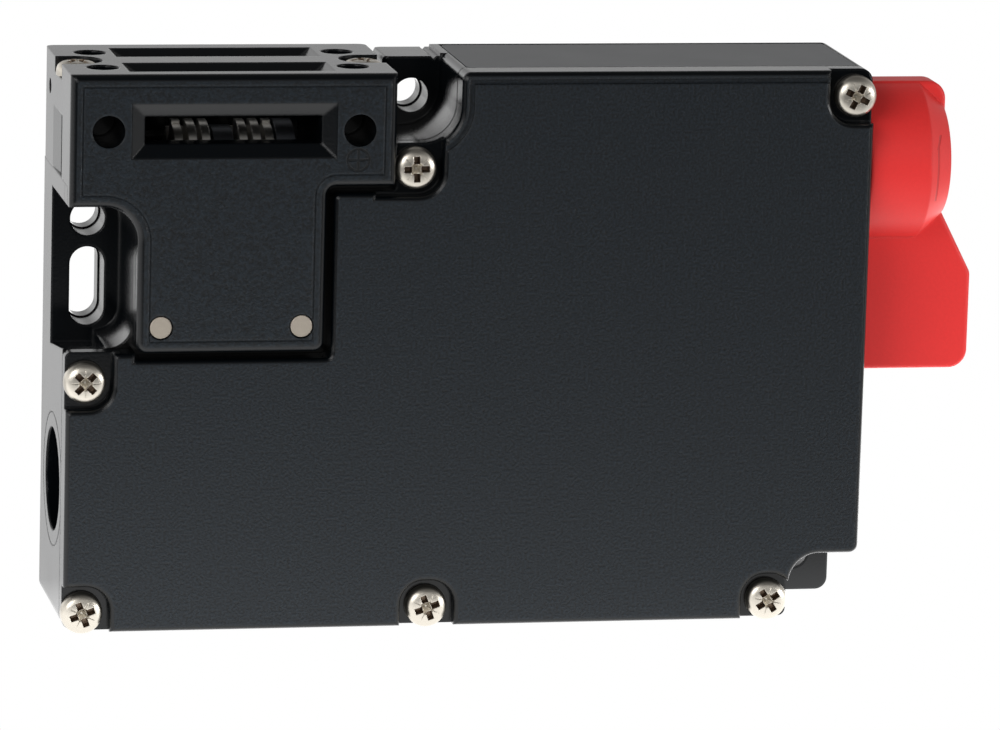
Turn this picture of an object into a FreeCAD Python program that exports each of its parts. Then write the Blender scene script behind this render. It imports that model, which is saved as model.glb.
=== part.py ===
import FreeCAD, Part
import math
import os

from FreeCAD import Vector

os.makedirs("parts", exist_ok=True)

# All sizes are millimetres. X runs to the right, Y to the back and Z up.
# The origin is the middle of the back face, which is the mounting face.

# Enclosure
enclosure_width = 130.0
enclosure_height = 90.0
enclosure_depth = 30.0
wall = 3.0
back_wall = 3.0
flange_thickness = 10.0
cover_rim_depth = 5.0
outer_corner = 2.0
cavity_corner = 1.0
cover_edge_radius = 0.9
cover_strip_share = 0.45
rim_width = 1.1
rim_groove_width = 0.8
rim_groove_depth = 0.35
back_edge_chamfer = 0.5
label_recess_depth = 0.3
label_recess_left_inset = 64.0
label_recess_right_inset = 1.6
label_recess_front_gap = 0.4
label_recess_back_gap = 0.8

# Actuator head
head_width = 52.0
head_height = 18.0
head_proud = 1.0
head_edge_radius = 1.3
front_plate_thickness = 3.0
column_width = 30.0
column_drop = 44.6
shoulder_thickness = 3.1
wing_fillet = 5.5
column_corner = 1.6
column_fillet = 1.5
head_line_inset = 1.8
head_line_width = 0.25
head_line_depth = 0.15
head_gap = 1.3
head_ceiling = 2.7

# Tongue slots, one in front and two on top, each with a funnel mouth
slot_width = 28.2
slot_height = 4.4
funnel_width = 32.8
funnel_height = 8.9
funnel_depth = 1.5
front_slot_drop = 9.0
top_slot_offset = 7.5
guide_hole_radius = 2.6
guide_hole_offset = 20.0
front_guide_depth = 12.0
top_guide_depth = 6.0

# Side window and drain hole in the left face of the head
window_width = 10.6
window_height = 10.0
window_ramp_depth = 0.35
window_slot_width = 3.2
window_slot_depth = 2.4
drain_radius = 1.2
drain_from_back = 6.1
drain_drop = 5.6

# Head screws and pins
head_screw_offset = 23.0
head_screw_sink = 0.05
head_screw_engagement = 2.3
head_pin_radius = 1.75
head_pin_inset = 3.75
head_pin_rise = 4.2
head_pin_length = 9.0
pin_sink = 0.2
pin_ring_gap = 0.2
pin_ring_depth = 1.0

# Mounting recesses and their holes
recess_floor_drop = 44.8
recess_corner = 4.0
recess_dip = 2.0
top_recess_width = 9.3
top_recess_height = 11.6
top_recess_corner = 6.0
low_recess_width = 11.4
low_recess_height = 10.7
low_recess_corner = 5.0
flange_end_corner = 1.2
top_flange_drop = 0.5
top_flange_notch = 0.9
top_flange_notch_inset = 1.1
mounting_hole_radius = 2.8
mounting_throat_radius = 2.6
mounting_throat_depth = 3.7
left_hole_inset = 5.75
left_hole_drop = 26.5
left_slot_drop = 37.5
left_slot_length = 12.8
top_hole_drop = 6.8
low_hole_inset = 6.2
low_hole_rise = 6.5

# Cover screws: distance from the nearest enclosure edges
screw_head_radius = 3.4
screw_head_height = 2.4
screw_shank_radius = 1.45
screw_length = 14.0
screw_hole_radius = 1.95
screw_pocket_margin = 1.0
screw_edge_inset = 3.1
screw_bottom_rise = 3.0
recess_screw_drop = 49.5
middle_screw_inset = 58.9
low_screw_inset = 14.8
top_screw_right_inset = 2.9
top_screw_drop = 4.3
inner_screw_inset = 55.5
inner_screw_drop = 15.5
cross_arm = 0.95
cross_span = 4.0
cross_depth = 1.6

# Cover seal
seal_inset = 0.5
seal_width = 1.0
seal_thickness = 1.0

# Cable entries
entry_radius = 8.4
entry_ring_radius = 10.9
entry_ring_groove = 0.25
entry_boss_radius = 9.9
entry_boss_height = 2.0
entry_rise = 22.0
bottom_entry_inset = 31.0
bottom_entry_pitch = 56.0
plug_length = 4.6
plug_sink = 0.3
plug_slot_width = 1.6
plug_slot_length = 11.0
plug_slot_depth = 1.4
plug_seal_width = 1.2
plug_seal_depth = 0.9

# Cam pack, turning on a fixed axle
cam_radius = 8.4
cam_land_radius = 7.9
cam_land_start = 186.0
cam_land_end = 250.0
cam_disc_thickness = 1.35
cam_disc_offsets = (3.0, 5.15, 7.3)
cam_swing = 60.0
cam_travel = 3.0
cam_axle_radius = 2.0
cam_axle_length = 27.6
cam_spacer_radius = 4.2
cam_side_clearance = 0.4
cam_notch_start = 140.0
cam_notch_end = 172.0
cam_notch_depth = 3.2
lift_cam_radius = 7.4
lift_cam_thickness = 3.2
lock_disc_thickness = 3.0
lock_disc_gap = 0.35
cam_rivet_radius = 0.9
cam_rivet_circle = 5.6
cam_rivet_angles = (5.0, 125.0, 245.0)
lift_cam_overrun = 25.0
lift_cam_rise = 15.0
lift_cam_far_side = 140.0
cheek_height = 4.5
cam_well_clearance = 0.6

# Plunger under the cam pack
plunger_radius = 4.0
plunger_tip_radius = 1.5
plunger_tip_width = 3.2
plunger_stem_radius = 3.5
plunger_collar_radius = 5.2
plunger_collar_height = 2.0
plunger_spring_radius = 4.6
plunger_spring_wire = 0.45
plunger_spring_turns = 5.0
plunger_pocket_radius = 5.6
plunger_pocket_height = 13.1

# Solenoid, pull rod and lock finger, on the axis of the release lever
lever_axis_drop = 16.7
solenoid_left = 3.0
solenoid_length = 42.0
solenoid_height = 24.0
cover_to_solenoid = 1.9
frame_sheet = 2.0
bobbin_flange_gap = 0.2
bobbin_flange_thickness = 1.5
bobbin_tube_wall = 1.2
armature_radius = 4.95
armature_length = 23.0
armature_reach = 2.0
core_gap = 1.0
winding_step = 0.6
rod_radius = 2.0
lock_travel = 3.0
lock_plate_thickness = 3.0
lock_plate_width = 8.0
lock_plate_top = 2.4
lock_plate_drop = 22.8
lock_plate_gap = 5.0
finger_radius = 1.8
finger_drop = 7.0
spring_pocket_radius = 3.6
spring_pocket_depth = 8.0
lock_spring_radius = 2.95
lock_spring_wire = 0.35
lock_spring_turns = 7.0

# Release lever and its shaft
sleeve_radius = 6.0
sleeve_bore_radius = 2.3
sleeve_inner_end = 17.5
sleeve_bore_end = 5.0
sleeve_boss_length = 5.5
sleeve_boss_radius = 9.0
cross_pin_radius = 1.0
cross_pin_length = 11.4
cross_pin_inset = 12.0
clip_thickness = 1.0
clip_radius = 7.6
clip_groove_depth = 0.8
sleeve_seal_width = 1.8
sleeve_seal_depth = 0.95
square_end = 8.0
square_length = 7.6
lever_side_gap = 0.4
lever_hub_radius = 13.0
lever_hub_length = 10.0
lever_cone_length = 4.1
lever_cone_radius = 9.5
lever_blade_thickness = 5.6
lever_neck_reach = 15.0
lever_blade_reach = 20.3
lever_blade_drop = 34.6
lever_flare_start = 8.5
lever_flare_end = 18.7
lever_blade_corner = 3.0
lever_swing = 90.0

# Contact blocks
position_case_width = 26.0
position_case_height = 19.0
lock_case_width = 26.0
lock_case_height = 15.3
lock_case_gap = 3.0
case_wall = 1.6
case_gap = 1.5
contact_leaf = 0.8
contact_leaf_length = 6.0
contact_leaf_width = 4.0
contact_bridge_length = 19.0
contact_bridge_width = 3.0
contact_slide_radius = 1.6
contact_gap = 0.2
bridge_drop = 7.2
lock_bridge_length = 12.0
lock_leaf_offset = 4.0
lock_leaf_width = 3.0
lock_leaf_rise = 2.0
slide_reach = 10.4

# Terminals
pole_count = 10
pole_pitch = 7.0
terminal_left = -25.0
terminal_rise = 9.0
terminal_height = 16.0
terminal_front_gap = 10.5
terminal_pocket_depth = 9.0
terminal_pocket = 5.6
terminal_screw_radius = 1.9
terminal_screw_height = 2.0
terminal_clamp_thickness = 1.6
terminal_slot_width = 0.7
terminal_slot_depth = 0.9
terminal_shank_radius = 1.15
terminal_shank_length = 4.0
terminal_mouth_step = 0.8
terminal_sink = 0.6

# Fits
running_clearance = 0.05
seat_clearance = 0.03
free_clearance = 0.3

# Places worked out from the sizes
left = -enclosure_width / 2
right = enclosure_width / 2
bottom = -enclosure_height / 2
top = enclosure_height / 2
front = -enclosure_depth
parting = front + cover_rim_depth
head_right = left + head_width
head_x = left + head_width / 2
head_front = front - head_proud
head_seat = top - head_height
column_front = head_front + front_plate_thickness
column_left = head_x - column_width / 2
column_right = head_x + column_width / 2
column_bottom = top - column_drop
shoulder_bottom = head_seat - shoulder_thickness
mid_depth = -(enclosure_depth + head_proud) / 2
head_screw_pocket_depth = screw_head_height + head_screw_sink
recess_floor = top - recess_floor_drop
top_recess_left = head_right + head_gap
top_recess_right = top_recess_left + top_recess_width
top_recess_floor = top - top_recess_height
low_recess_left = right - low_recess_width
low_recess_top = bottom + low_recess_height
column_cut_right = column_right + head_gap
column_cut_bottom = column_bottom - head_gap
wing_cut_bottom = head_seat - head_gap
cover_head_side = head_right + head_gap / 2
pocket_reach = screw_head_radius + screw_pocket_margin
cover_strip = column_left - left - screw_edge_inset - pocket_reach
screw_seat = front + screw_head_height
cover_inside = screw_seat + 0.1
case_front = parting + 1.0
cam_y = mid_depth
cam_z = head_seat
lever_y = -enclosure_depth / 2
lever_z = top - lever_axis_drop
finger_z = lever_z - finger_drop
cam_half_length = (cam_disc_offsets[-1] + cam_disc_thickness / 2
                   + lock_disc_gap + lock_disc_thickness)
well_half_length = cam_half_length + cam_side_clearance
entry_y = -enclosure_depth / 2
entry_z = bottom + entry_rise
bottom_entry_xs = (left + bottom_entry_inset, left + bottom_entry_inset + bottom_entry_pitch)

cover_screws_at = {
    "recess": (left + screw_edge_inset, top - recess_screw_drop),
    "low_left": (left + screw_edge_inset, bottom + screw_bottom_rise),
    "low_middle": (left + middle_screw_inset, bottom + screw_bottom_rise),
    "low_right": (right - low_screw_inset, bottom + screw_bottom_rise),
    "top_right": (right - top_screw_right_inset, top - top_screw_drop),
    "inner": (left + inner_screw_inset, top - inner_screw_drop),
}
# Sides on which each screw's pocket in the cover runs out over the edge
pocket_open_sides = {
    "recess": ("left", "top"),
    "low_left": ("left", "bottom"),
    "low_middle": ("bottom",),
    "low_right": ("bottom",),
    "top_right": ("top", "right"),
    "inner": ("left", "top"),
}

ALONG_X = Vector(1, 0, 0)
ALONG_Y = Vector(0, 1, 0)
ALONG_Z = Vector(0, 0, 1)
past = 2.0


def block(x_low, x_high, y_low, y_high, z_low, z_high):
    """Box between two corners."""
    size = (x_high - x_low, y_high - y_low, z_high - z_low)
    return Part.makeBox(*size, Vector(x_low, y_low, z_low))


def rod(radius, start, direction, length):
    """Round bar from a start point."""
    return Part.makeCylinder(radius, length, Vector(*start), direction)


def tube(outer, inner, start, direction, length):
    """Round bar with a bore right through."""
    return rod(outer, start, direction, length).cut(rod(inner, start, direction, length))


def fused(shapes):
    """One solid from touching or overlapping shapes."""
    return shapes[0].multiFuse(shapes[1:]).removeSplitter()


def rounded_wire(points, plane):
    """Closed wire through corners (u, v, corner radius), set in space by plane(u, v)."""
    corners = [plane(u, v) for u, v, radius in points]
    count = len(corners)
    edges = []
    last_end = None
    first_start = None
    for i in range(count):
        corner = corners[i]
        to_last = (corners[i - 1] - corner).normalize()
        to_next = (corners[(i + 1) % count] - corner).normalize()
        radius = points[i][2]
        start = corner
        end = corner
        if radius > 0:
            half = to_last.getAngle(to_next) / 2
            start = corner + to_last * (radius / math.tan(half))
            end = corner + to_next * (radius / math.tan(half))
        if last_end is not None and last_end.distanceToPoint(start) > 1e-6:
            edges.append(Part.LineSegment(last_end, start).toShape())
        if radius > 0:
            inward = (to_last + to_next).normalize()
            middle = corner + inward * (radius / math.sin(half) - radius)
            edges.append(Part.Arc(start, middle, end).toShape())
        if first_start is None:
            first_start = start
        last_end = end
    if last_end.distanceToPoint(first_start) > 1e-6:
        edges.append(Part.LineSegment(last_end, first_start).toShape())
    return Part.Wire(edges)


def outline(points, y):
    """Wire of (x, z, corner radius) points at one depth."""
    return rounded_wire(points, lambda x, z: Vector(x, y, z))


def plate(points, y_low, y_high):
    """Solid with one outline, from one depth to another."""
    return Part.Face(outline(points, y_low)).extrude(Vector(0, y_high - y_low, 0))


def rounded_front(shape, y, radius):
    """Rounds the edges that lie in the front plane."""
    edges = [
        edge for edge in shape.Edges
        if abs(edge.BoundBox.YMin - y) < 1e-4 and abs(edge.BoundBox.YMax - y) < 1e-4
    ]
    return shape.makeFillet(radius, edges)


def revolved(profile, start, direction):
    """Solid turned from (along, radius) points about an axis."""
    turned = Part.Wire([
        Part.LineSegment(Vector(a[1], 0, a[0]), Vector(b[1], 0, b[0])).toShape()
        for a, b in zip(profile, profile[1:] + profile[:1])
    ])
    solid = Part.Face(turned).revolve(Vector(0, 0, 0), ALONG_Z, 360)
    return set_on_axis(solid, start, direction)


def set_on_axis(shape, start, direction):
    """Moves a shape built up the Z axis so that it starts at a point and runs in a direction."""
    placed = shape.copy()
    target = FreeCAD.Placement(Vector(*start), FreeCAD.Rotation(ALONG_Z, direction))
    placed.Placement = target.multiply(placed.Placement)
    return placed


def coil_spring(radius, wire, length, turns):
    """Compression spring that stands just above the origin, with a six-sided wire."""
    reach = length - 2 * wire - 2 * seat_clearance
    helix = Part.makeHelix(reach / turns, reach, radius)
    corners = []
    for i in range(7):
        turn = math.radians(60 * i)
        corners.append(Vector(radius + wire * math.cos(turn), 0, wire * math.sin(turn)))
    spring = Part.Wire(helix.Edges).makePipeShell([Part.makePolygon(corners)], True, True)
    spring.translate(Vector(0, 0, wire + seat_clearance))
    return spring


def funnel_slot(depth):
    """Cutter for a tongue slot: mouth in the plane z = 0, going down, long side on X."""
    mouth = Part.makePolygon([
        Vector(-funnel_width / 2, -funnel_height / 2, 0),
        Vector(funnel_width / 2, -funnel_height / 2, 0),
        Vector(funnel_width / 2, funnel_height / 2, 0),
        Vector(-funnel_width / 2, funnel_height / 2, 0),
        Vector(-funnel_width / 2, -funnel_height / 2, 0),
    ])
    throat = Part.makePolygon([
        Vector(-slot_width / 2, -slot_height / 2, -funnel_depth),
        Vector(slot_width / 2, -slot_height / 2, -funnel_depth),
        Vector(slot_width / 2, slot_height / 2, -funnel_depth),
        Vector(-slot_width / 2, slot_height / 2, -funnel_depth),
        Vector(-slot_width / 2, -slot_height / 2, -funnel_depth),
    ])
    funnel = Part.makeLoft([mouth, throat], True, True)
    passage = block(-slot_width / 2, slot_width / 2, -slot_height / 2, slot_height / 2,
                    -depth, -funnel_depth)
    return funnel.fuse(passage)


def cross_recess():
    """Cutter for a cross recess in a screw head, going down from z = 0."""
    arms = [
        block(-cross_span / 2, cross_span / 2, -cross_arm / 2, cross_arm / 2, -cross_depth, past),
        block(-cross_arm / 2, cross_arm / 2, -cross_span / 2, cross_span / 2, -cross_depth, past),
    ]
    return fused(arms)


def pan_screw(length):
    """Pan-head screw: the head's seat is z = 0, the head is above and the shank below."""
    crown = screw_head_height * 0.45
    dome = Part.Arc(
        Vector(screw_head_radius, 0, crown),
        Vector(screw_head_radius * 0.82, 0, screw_head_height * 0.86),
        Vector(screw_head_radius * 0.45, 0, screw_head_height),
    ).toShape()
    edges = [
        Part.LineSegment(Vector(0, 0, 0), Vector(screw_head_radius, 0, 0)).toShape(),
        Part.LineSegment(Vector(screw_head_radius, 0, 0), Vector(screw_head_radius, 0, crown)).toShape(),
        dome,
        Part.LineSegment(Vector(screw_head_radius * 0.45, 0, screw_head_height),
                         Vector(0, 0, screw_head_height)).toShape(),
        Part.LineSegment(Vector(0, 0, screw_head_height), Vector(0, 0, 0)).toShape(),
    ]
    head = Part.Face(Part.Wire(edges)).revolve(Vector(0, 0, 0), ALONG_Z, 360)
    recess = cross_recess()
    recess.translate(Vector(0, 0, screw_head_height))
    shank = rod(screw_shank_radius, (0, 0, -length), ALONG_Z, length)
    return head.cut(recess).fuse(shank).removeSplitter()


def cover_points():
    """Outline of the cover, which goes round the head and the three mounting recesses."""
    return [
        (left, bottom, outer_corner),
        (low_recess_left, bottom, outer_corner * 0.6),
        (low_recess_left, low_recess_top, low_recess_corner),
        (right, low_recess_top, outer_corner * 0.7),
        (right, top, outer_corner),
        (top_recess_right, top, outer_corner * 0.7),
        (top_recess_right, top_recess_floor, top_recess_corner),
        (cover_head_side, top_recess_floor, 0),
        (cover_head_side, wing_cut_bottom, outer_corner * 0.5),
        (column_cut_right, wing_cut_bottom, outer_corner * 0.5),
        (column_cut_right, column_cut_bottom, outer_corner * 0.5),
        (column_left, column_cut_bottom, 0),
        (column_left, recess_floor, 0),
        (left, recess_floor, outer_corner * 0.5),
    ]


def cavity_points():
    """Outline of the space inside the enclosure, stepped round the screw bosses."""
    inner_left = left + wall
    inner_right = right - wall
    inner_bottom = bottom + wall
    inner_top = top - wall
    recess_x, recess_z = cover_screws_at["recess"]
    low_x, low_z = cover_screws_at["low_left"]
    middle_x = cover_screws_at["low_middle"][0]
    last_x = cover_screws_at["low_right"][0]
    corner_x, corner_z = cover_screws_at["top_right"]
    inner_x = cover_screws_at["inner"][0]
    return [
        (low_x + pocket_reach, inner_bottom, cavity_corner),
        (middle_x - pocket_reach, inner_bottom, cavity_corner),
        (middle_x - pocket_reach, low_z + pocket_reach, cavity_corner),
        (middle_x + pocket_reach, low_z + pocket_reach, cavity_corner),
        (middle_x + pocket_reach, inner_bottom, cavity_corner),
        (last_x - pocket_reach, inner_bottom, cavity_corner),
        (last_x - pocket_reach, low_recess_top + wall, cavity_corner),
        (inner_right, low_recess_top + wall, cavity_corner),
        (inner_right, corner_z - pocket_reach, cavity_corner),
        (corner_x - pocket_reach, corner_z - pocket_reach, cavity_corner),
        (corner_x - pocket_reach, inner_top, cavity_corner),
        (top_recess_right + wall, inner_top, cavity_corner),
        (top_recess_right + wall, top_recess_floor - 0.75 * wall, cavity_corner),
        (inner_x + pocket_reach - 0.4, top_recess_floor - 0.75 * wall, cavity_corner),
        (inner_x + pocket_reach - 0.4, wing_cut_bottom - 0.75 * wall, cavity_corner),
        (column_right + pocket_reach, wing_cut_bottom - 0.75 * wall, cavity_corner),
        (column_right + pocket_reach, recess_floor - wall - 0.7, cavity_corner),
        (recess_x + pocket_reach, recess_floor - wall - 0.7, cavity_corner),
        (recess_x + pocket_reach, recess_z - pocket_reach, cavity_corner),
        (inner_left, recess_z - pocket_reach, cavity_corner),
        (inner_left, low_z + pocket_reach, cavity_corner),
        (low_x + pocket_reach, low_z + pocket_reach, cavity_corner),
    ]


def screw_pocket(name, y_low, y_high):
    """Cutter for the pocket that a cover screw's head sits in."""
    x, z = cover_screws_at[name]
    sides = {"left": x - pocket_reach, "right": x + pocket_reach,
             "bottom": z - pocket_reach, "top": z + pocket_reach}
    run_out = {"left": left, "right": right, "bottom": bottom, "top": top}
    if name in ("recess", "inner"):
        run_out = {"left": sides["left"], "top": sides["top"] + past}
    for side in pocket_open_sides[name]:
        sign = -1 if side in ("left", "bottom") else 1
        sides[side] = run_out[side] + sign * past
    corner = pocket_reach - 0.5
    open_sides = pocket_open_sides[name]

    def radius(one, other):
        return 0 if one in open_sides or other in open_sides else corner

    return plate([
        (sides["left"], sides["bottom"], radius("left", "bottom")),
        (sides["right"], sides["bottom"], radius("right", "bottom")),
        (sides["right"], sides["top"], radius("right", "top")),
        (sides["left"], sides["top"], radius("left", "top")),
    ], y_low, y_high)


def ring_plate(grow_inner, grow_outer, y_low, y_high):
    """Flat ring that follows the cavity's outline at two distances."""
    wire = outline(cavity_points(), y_low)
    outer = Part.Face(wire.makeOffset2D(grow_outer)).extrude(Vector(0, y_high - y_low, 0))
    inner = Part.Face(wire.makeOffset2D(grow_inner)).extrude(Vector(0, y_high - y_low, 0))
    return outer.cut(inner)


def outline_groove(points, y, inset, width, depth):
    """Cutter for a shallow groove in a front face, inside its outline."""
    wire = outline(points, y - past)
    outer = Part.Face(wire.makeOffset2D(-inset)).extrude(Vector(0, past + depth, 0))
    inner = Part.Face(wire.makeOffset2D(-inset - width)).extrude(Vector(0, past + depth, 0))
    return outer.cut(inner)


def make_cover():
    """Front cover: a rounded panel on a rim, with screw pockets, screw holes and a seal groove."""
    panel = plate(cover_points(), front, parting)
    for name in cover_screws_at:
        panel = panel.cut(screw_pocket(name, front - past, screw_seat))
    panel = rounded_front(panel, front, min(cover_edge_radius, cover_strip_share * cover_strip))
    groove_left = cover_screws_at["inner"][0]
    groove_right = cover_screws_at["top_right"][0]
    top_groove = outline_groove(cover_points(), front, rim_width, rim_groove_width, rim_groove_depth)
    panel = panel.cut(top_groove.common(block(groove_left, groove_right, front - past, front + past,
                                              wing_cut_bottom, top + past)))
    hollow = plate(cavity_points(), cover_inside, parting + past)
    groove = ring_plate(seal_inset - 0.1, seal_inset + seal_width + 0.1,
                        parting - seal_thickness, parting + past)
    cover = panel.cut(hollow).cut(groove)
    for x, z in cover_screws_at.values():
        cover = cover.cut(rod(screw_hole_radius, (x, front - past, z), ALONG_Y, cover_rim_depth + 2 * past))
    return cover


def make_cover_gasket():
    """Rubber seal in the cover's groove."""
    return ring_plate(seal_inset, seal_inset + seal_width, parting - seal_thickness, parting)


def upright_slot(x, z, half_length, radius, y_low, y_high):
    """Cutter for a slot with round ends, long side on Z."""
    middle = block(x - radius, x + radius, y_low, y_high, z - half_length + radius, z + half_length - radius)
    ends = [rod(radius, (x, y_low, z + side * (half_length - radius)), ALONG_Y, y_high - y_low) for side in (-1, 1)]
    return fused([middle] + ends)


def mounting_holes():
    """Cutters for the three round mounting holes and the slotted one, each narrower at the back."""
    left_x = left + left_hole_inset
    round_holes = [
        (left_x, top - left_hole_drop),
        ((top_recess_left + top_recess_right) / 2, top - top_hole_drop),
        (right - low_hole_inset, bottom + low_hole_rise),
    ]
    slot_z = top - left_slot_drop
    narrowing = mounting_hole_radius - mounting_throat_radius
    spans = [
        (mounting_hole_radius, left_slot_length / 2, -flange_thickness - past, -mounting_throat_depth),
        (mounting_throat_radius, left_slot_length / 2 - narrowing, -mounting_throat_depth - past, past),
    ]
    cutters = []
    for radius, half_length, y_low, y_high in spans:
        for x, z in round_holes:
            cutters.append(rod(radius, (x, y_low, z), ALONG_Y, y_high - y_low))
        cutters.append(upright_slot(left_x, slot_z, half_length, radius, y_low, y_high))
    return cutters


def sloped_floor():
    """Cutter that lets the left recess's floor fall towards the flange."""
    corners = [
        Vector(left - past, parting, recess_floor),
        Vector(left - past, -flange_thickness, recess_floor - recess_dip),
        Vector(left - past, -flange_thickness, recess_floor + recess_corner),
        Vector(left - past, parting, recess_floor + recess_corner),
        Vector(left - past, parting, recess_floor),
    ]
    length = column_left - left + past - recess_corner
    return Part.Face(Part.makePolygon(corners)).extrude(Vector(length, 0, 0))


def recess_cutters():
    """Cutters that leave only the mounting flange at the three recesses."""
    y_low = front - past
    return [
        plate([
            (left - past, recess_floor, 0),
            (column_left, recess_floor, recess_corner),
            (column_left, shoulder_bottom, wing_fillet),
            (left - past, shoulder_bottom, 0),
        ], y_low, -flange_thickness),
        sloped_floor(),
        plate([
            (top_recess_left - past, top_recess_floor, recess_corner * 0.5),
            (top_recess_right, top_recess_floor, top_recess_corner),
            (top_recess_right, top + past, 0),
            (top_recess_left - past, top + past, 0),
        ], y_low, -flange_thickness),
        plate([
            (low_recess_left, bottom - past, 0),
            (right + past, bottom - past, 0),
            (right + past, low_recess_top, 0),
            (low_recess_left, low_recess_top, low_recess_corner),
        ], y_low, -flange_thickness),
    ]


def corner_cutter(x, z, x_side, z_side, radius, y_low, y_high):
    """Cutter that rounds an outer corner along Y; the sides point from the corner into the body."""
    around = block(min(x - x_side * past, x + x_side * radius), max(x - x_side * past, x + x_side * radius),
                   y_low, y_high,
                   min(z - z_side * past, z + z_side * radius), max(z - z_side * past, z + z_side * radius))
    centre = (x + x_side * radius, y_low, z + z_side * radius)
    return around.cut(rod(radius, centre, ALONG_Y, y_high - y_low))


def housing_corner_cutters():
    """Cutters that carry the cover's rounded corners on into the housing, and round the flange's end."""
    y_high = -flange_thickness
    corners = [
        corner_cutter(top_recess_right, top, 1, -1, outer_corner * 0.7, parting - past, y_high),
        corner_cutter(low_recess_left, bottom, -1, 1, outer_corner * 0.6, parting - past, y_high),
        corner_cutter(right, low_recess_top, -1, 1, outer_corner * 0.7, parting - past, y_high),
    ]
    z_low = top_recess_floor + top_recess_corner
    end = block(top_recess_left - past, top_recess_left + flange_end_corner,
                -flange_thickness - past, -flange_thickness + flange_end_corner, z_low, top + past)
    centre = (top_recess_left + flange_end_corner, -flange_thickness + flange_end_corner, z_low)
    corners.append(end.cut(rod(flange_end_corner, centre, ALONG_Z, top + past - z_low)))
    return corners


def top_face_cutters():
    """Cutters for the label's recess, the lowered flange edge and the notch in it."""
    label = block(left + label_recess_left_inset, right - label_recess_right_inset,
                  parting + label_recess_front_gap, -label_recess_back_gap,
                  top - label_recess_depth, top + past)
    flange_top = top - top_flange_drop
    lowered = block(top_recess_left - past, top_recess_right, -flange_thickness - past, past, flange_top, top + past)
    notch_x = top_recess_right - top_flange_notch_inset
    notch = Part.makePolygon([
        Vector(notch_x - top_flange_notch / 2, -flange_thickness - past, flange_top),
        Vector(notch_x, -flange_thickness - past, flange_top - top_flange_notch / 2),
        Vector(notch_x + top_flange_notch / 2, -flange_thickness - past, flange_top),
        Vector(notch_x - top_flange_notch / 2, -flange_thickness - past, flange_top),
    ])
    return [label, lowered, Part.Face(notch).extrude(Vector(0, flange_thickness + 2 * past, 0))]


def entry_places():
    """Cable entries: name, point on the outer face, direction into the enclosure."""
    low_left, low_right = bottom_entry_xs
    return [
        ("left", (left, entry_y, entry_z), ALONG_X),
        ("right", (right, entry_y, entry_z), Vector(-1, 0, 0)),
        ("bottom_left", (low_left, entry_y, bottom), ALONG_Z),
        ("bottom_right", (low_right, entry_y, bottom), ALONG_Z),
    ]


def make_housing():
    """Enclosure tray: mounting flanges, head column, screw bosses, cable entries and bearings."""
    body = plate([
        (left, bottom, outer_corner),
        (right, bottom, outer_corner),
        (right, top, outer_corner),
        (top_recess_left, top, outer_corner * 0.7),
        (top_recess_left, head_seat, 0),
        (left, head_seat, 0),
    ], parting, 0)
    back_edges = [
        edge for edge in body.Edges
        if edge.BoundBox.YMin > -1e-4 and edge.BoundBox.ZMin < head_seat - 1
    ]
    body = body.makeChamfer(back_edge_chamfer, back_edges)
    for cutter in recess_cutters():
        body = body.cut(cutter)
    column = plate([
        (left, head_seat, 0),
        (left, shoulder_bottom, 0),
        (column_left, shoulder_bottom, wing_fillet),
        (column_left, column_bottom, column_corner),
        (column_right, column_bottom, column_corner),
        (column_right, head_seat, 0),
    ], column_front, parting)
    body = body.cut(plate(cavity_points(), parting - past, -back_wall))
    body = fused([body, column])

    additions = []
    cutters = mounting_holes() + top_face_cutters() + housing_corner_cutters()
    for name, place, inward in entry_places():
        boss_start = Vector(*place) + inward * (wall - 0.5)
        additions.append(rod(entry_boss_radius, boss_start, inward, entry_boss_height + 0.5))
        hole_start = Vector(*place) - inward * past
        cutters.append(rod(entry_radius, hole_start, inward, wall + entry_boss_height + 2 * past))
        ring = tube(entry_ring_radius, entry_ring_radius - entry_ring_groove,
                    Vector(*place) - inward * past, inward, past + entry_ring_groove)
        cutters.append(ring)
    shaft_start = (right - wall - sleeve_boss_length + wall, lever_y, lever_z)
    additions.append(rod(sleeve_boss_radius, shaft_start, ALONG_X, sleeve_boss_length - wall + 0.5))
    cutters.append(rod(sleeve_radius + running_clearance,
                       (right - sleeve_boss_length - past, lever_y, lever_z), ALONG_X,
                       sleeve_boss_length + 2 * past))
    for x, z in cover_screws_at.values():
        cutters.append(rod(screw_shank_radius + seat_clearance, (x, parting - past, z), ALONG_Y,
                           screw_seat + screw_length + seat_clearance - parting + past))
    for side in (-1, 1):
        x = head_x + side * head_screw_offset
        cutters.append(rod(screw_shank_radius + seat_clearance,
                           (x, mid_depth, head_seat - head_screw_engagement - seat_clearance),
                           ALONG_Z, head_screw_engagement + past))
        pin_x = head_x + side * (column_width / 2 - head_pin_inset)
        cutters.append(rod(head_pin_radius + seat_clearance, (pin_x, head_front, column_bottom + head_pin_rise),
                           ALONG_Y, pin_sink + head_pin_length + seat_clearance))
    cutters.append(rod(cam_radius + cam_well_clearance, (head_x - well_half_length, cam_y, cam_z),
                       ALONG_X, 2 * well_half_length))
    cutters.append(rod(cam_axle_radius + seat_clearance, (head_x - cam_axle_length / 2, cam_y, cam_z),
                       ALONG_X, cam_axle_length))
    pocket_floor = recess_floor - wall - 0.7
    cutters.append(rod(plunger_radius + running_clearance, (head_x, cam_y, pocket_floor), ALONG_Z,
                       cam_z - pocket_floor - cam_radius))
    cutters.append(rod(plunger_pocket_radius, (head_x, cam_y, pocket_floor - 0.5), ALONG_Z,
                       plunger_pocket_height + 0.5))
    cutters.append(rod(finger_radius + running_clearance, (head_x, lever_y, finger_z), ALONG_X,
                       column_right + pocket_reach + past - head_x))
    body = fused([body] + additions)
    for cutter in cutters:
        body = body.cut(cutter)
    return body


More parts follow.
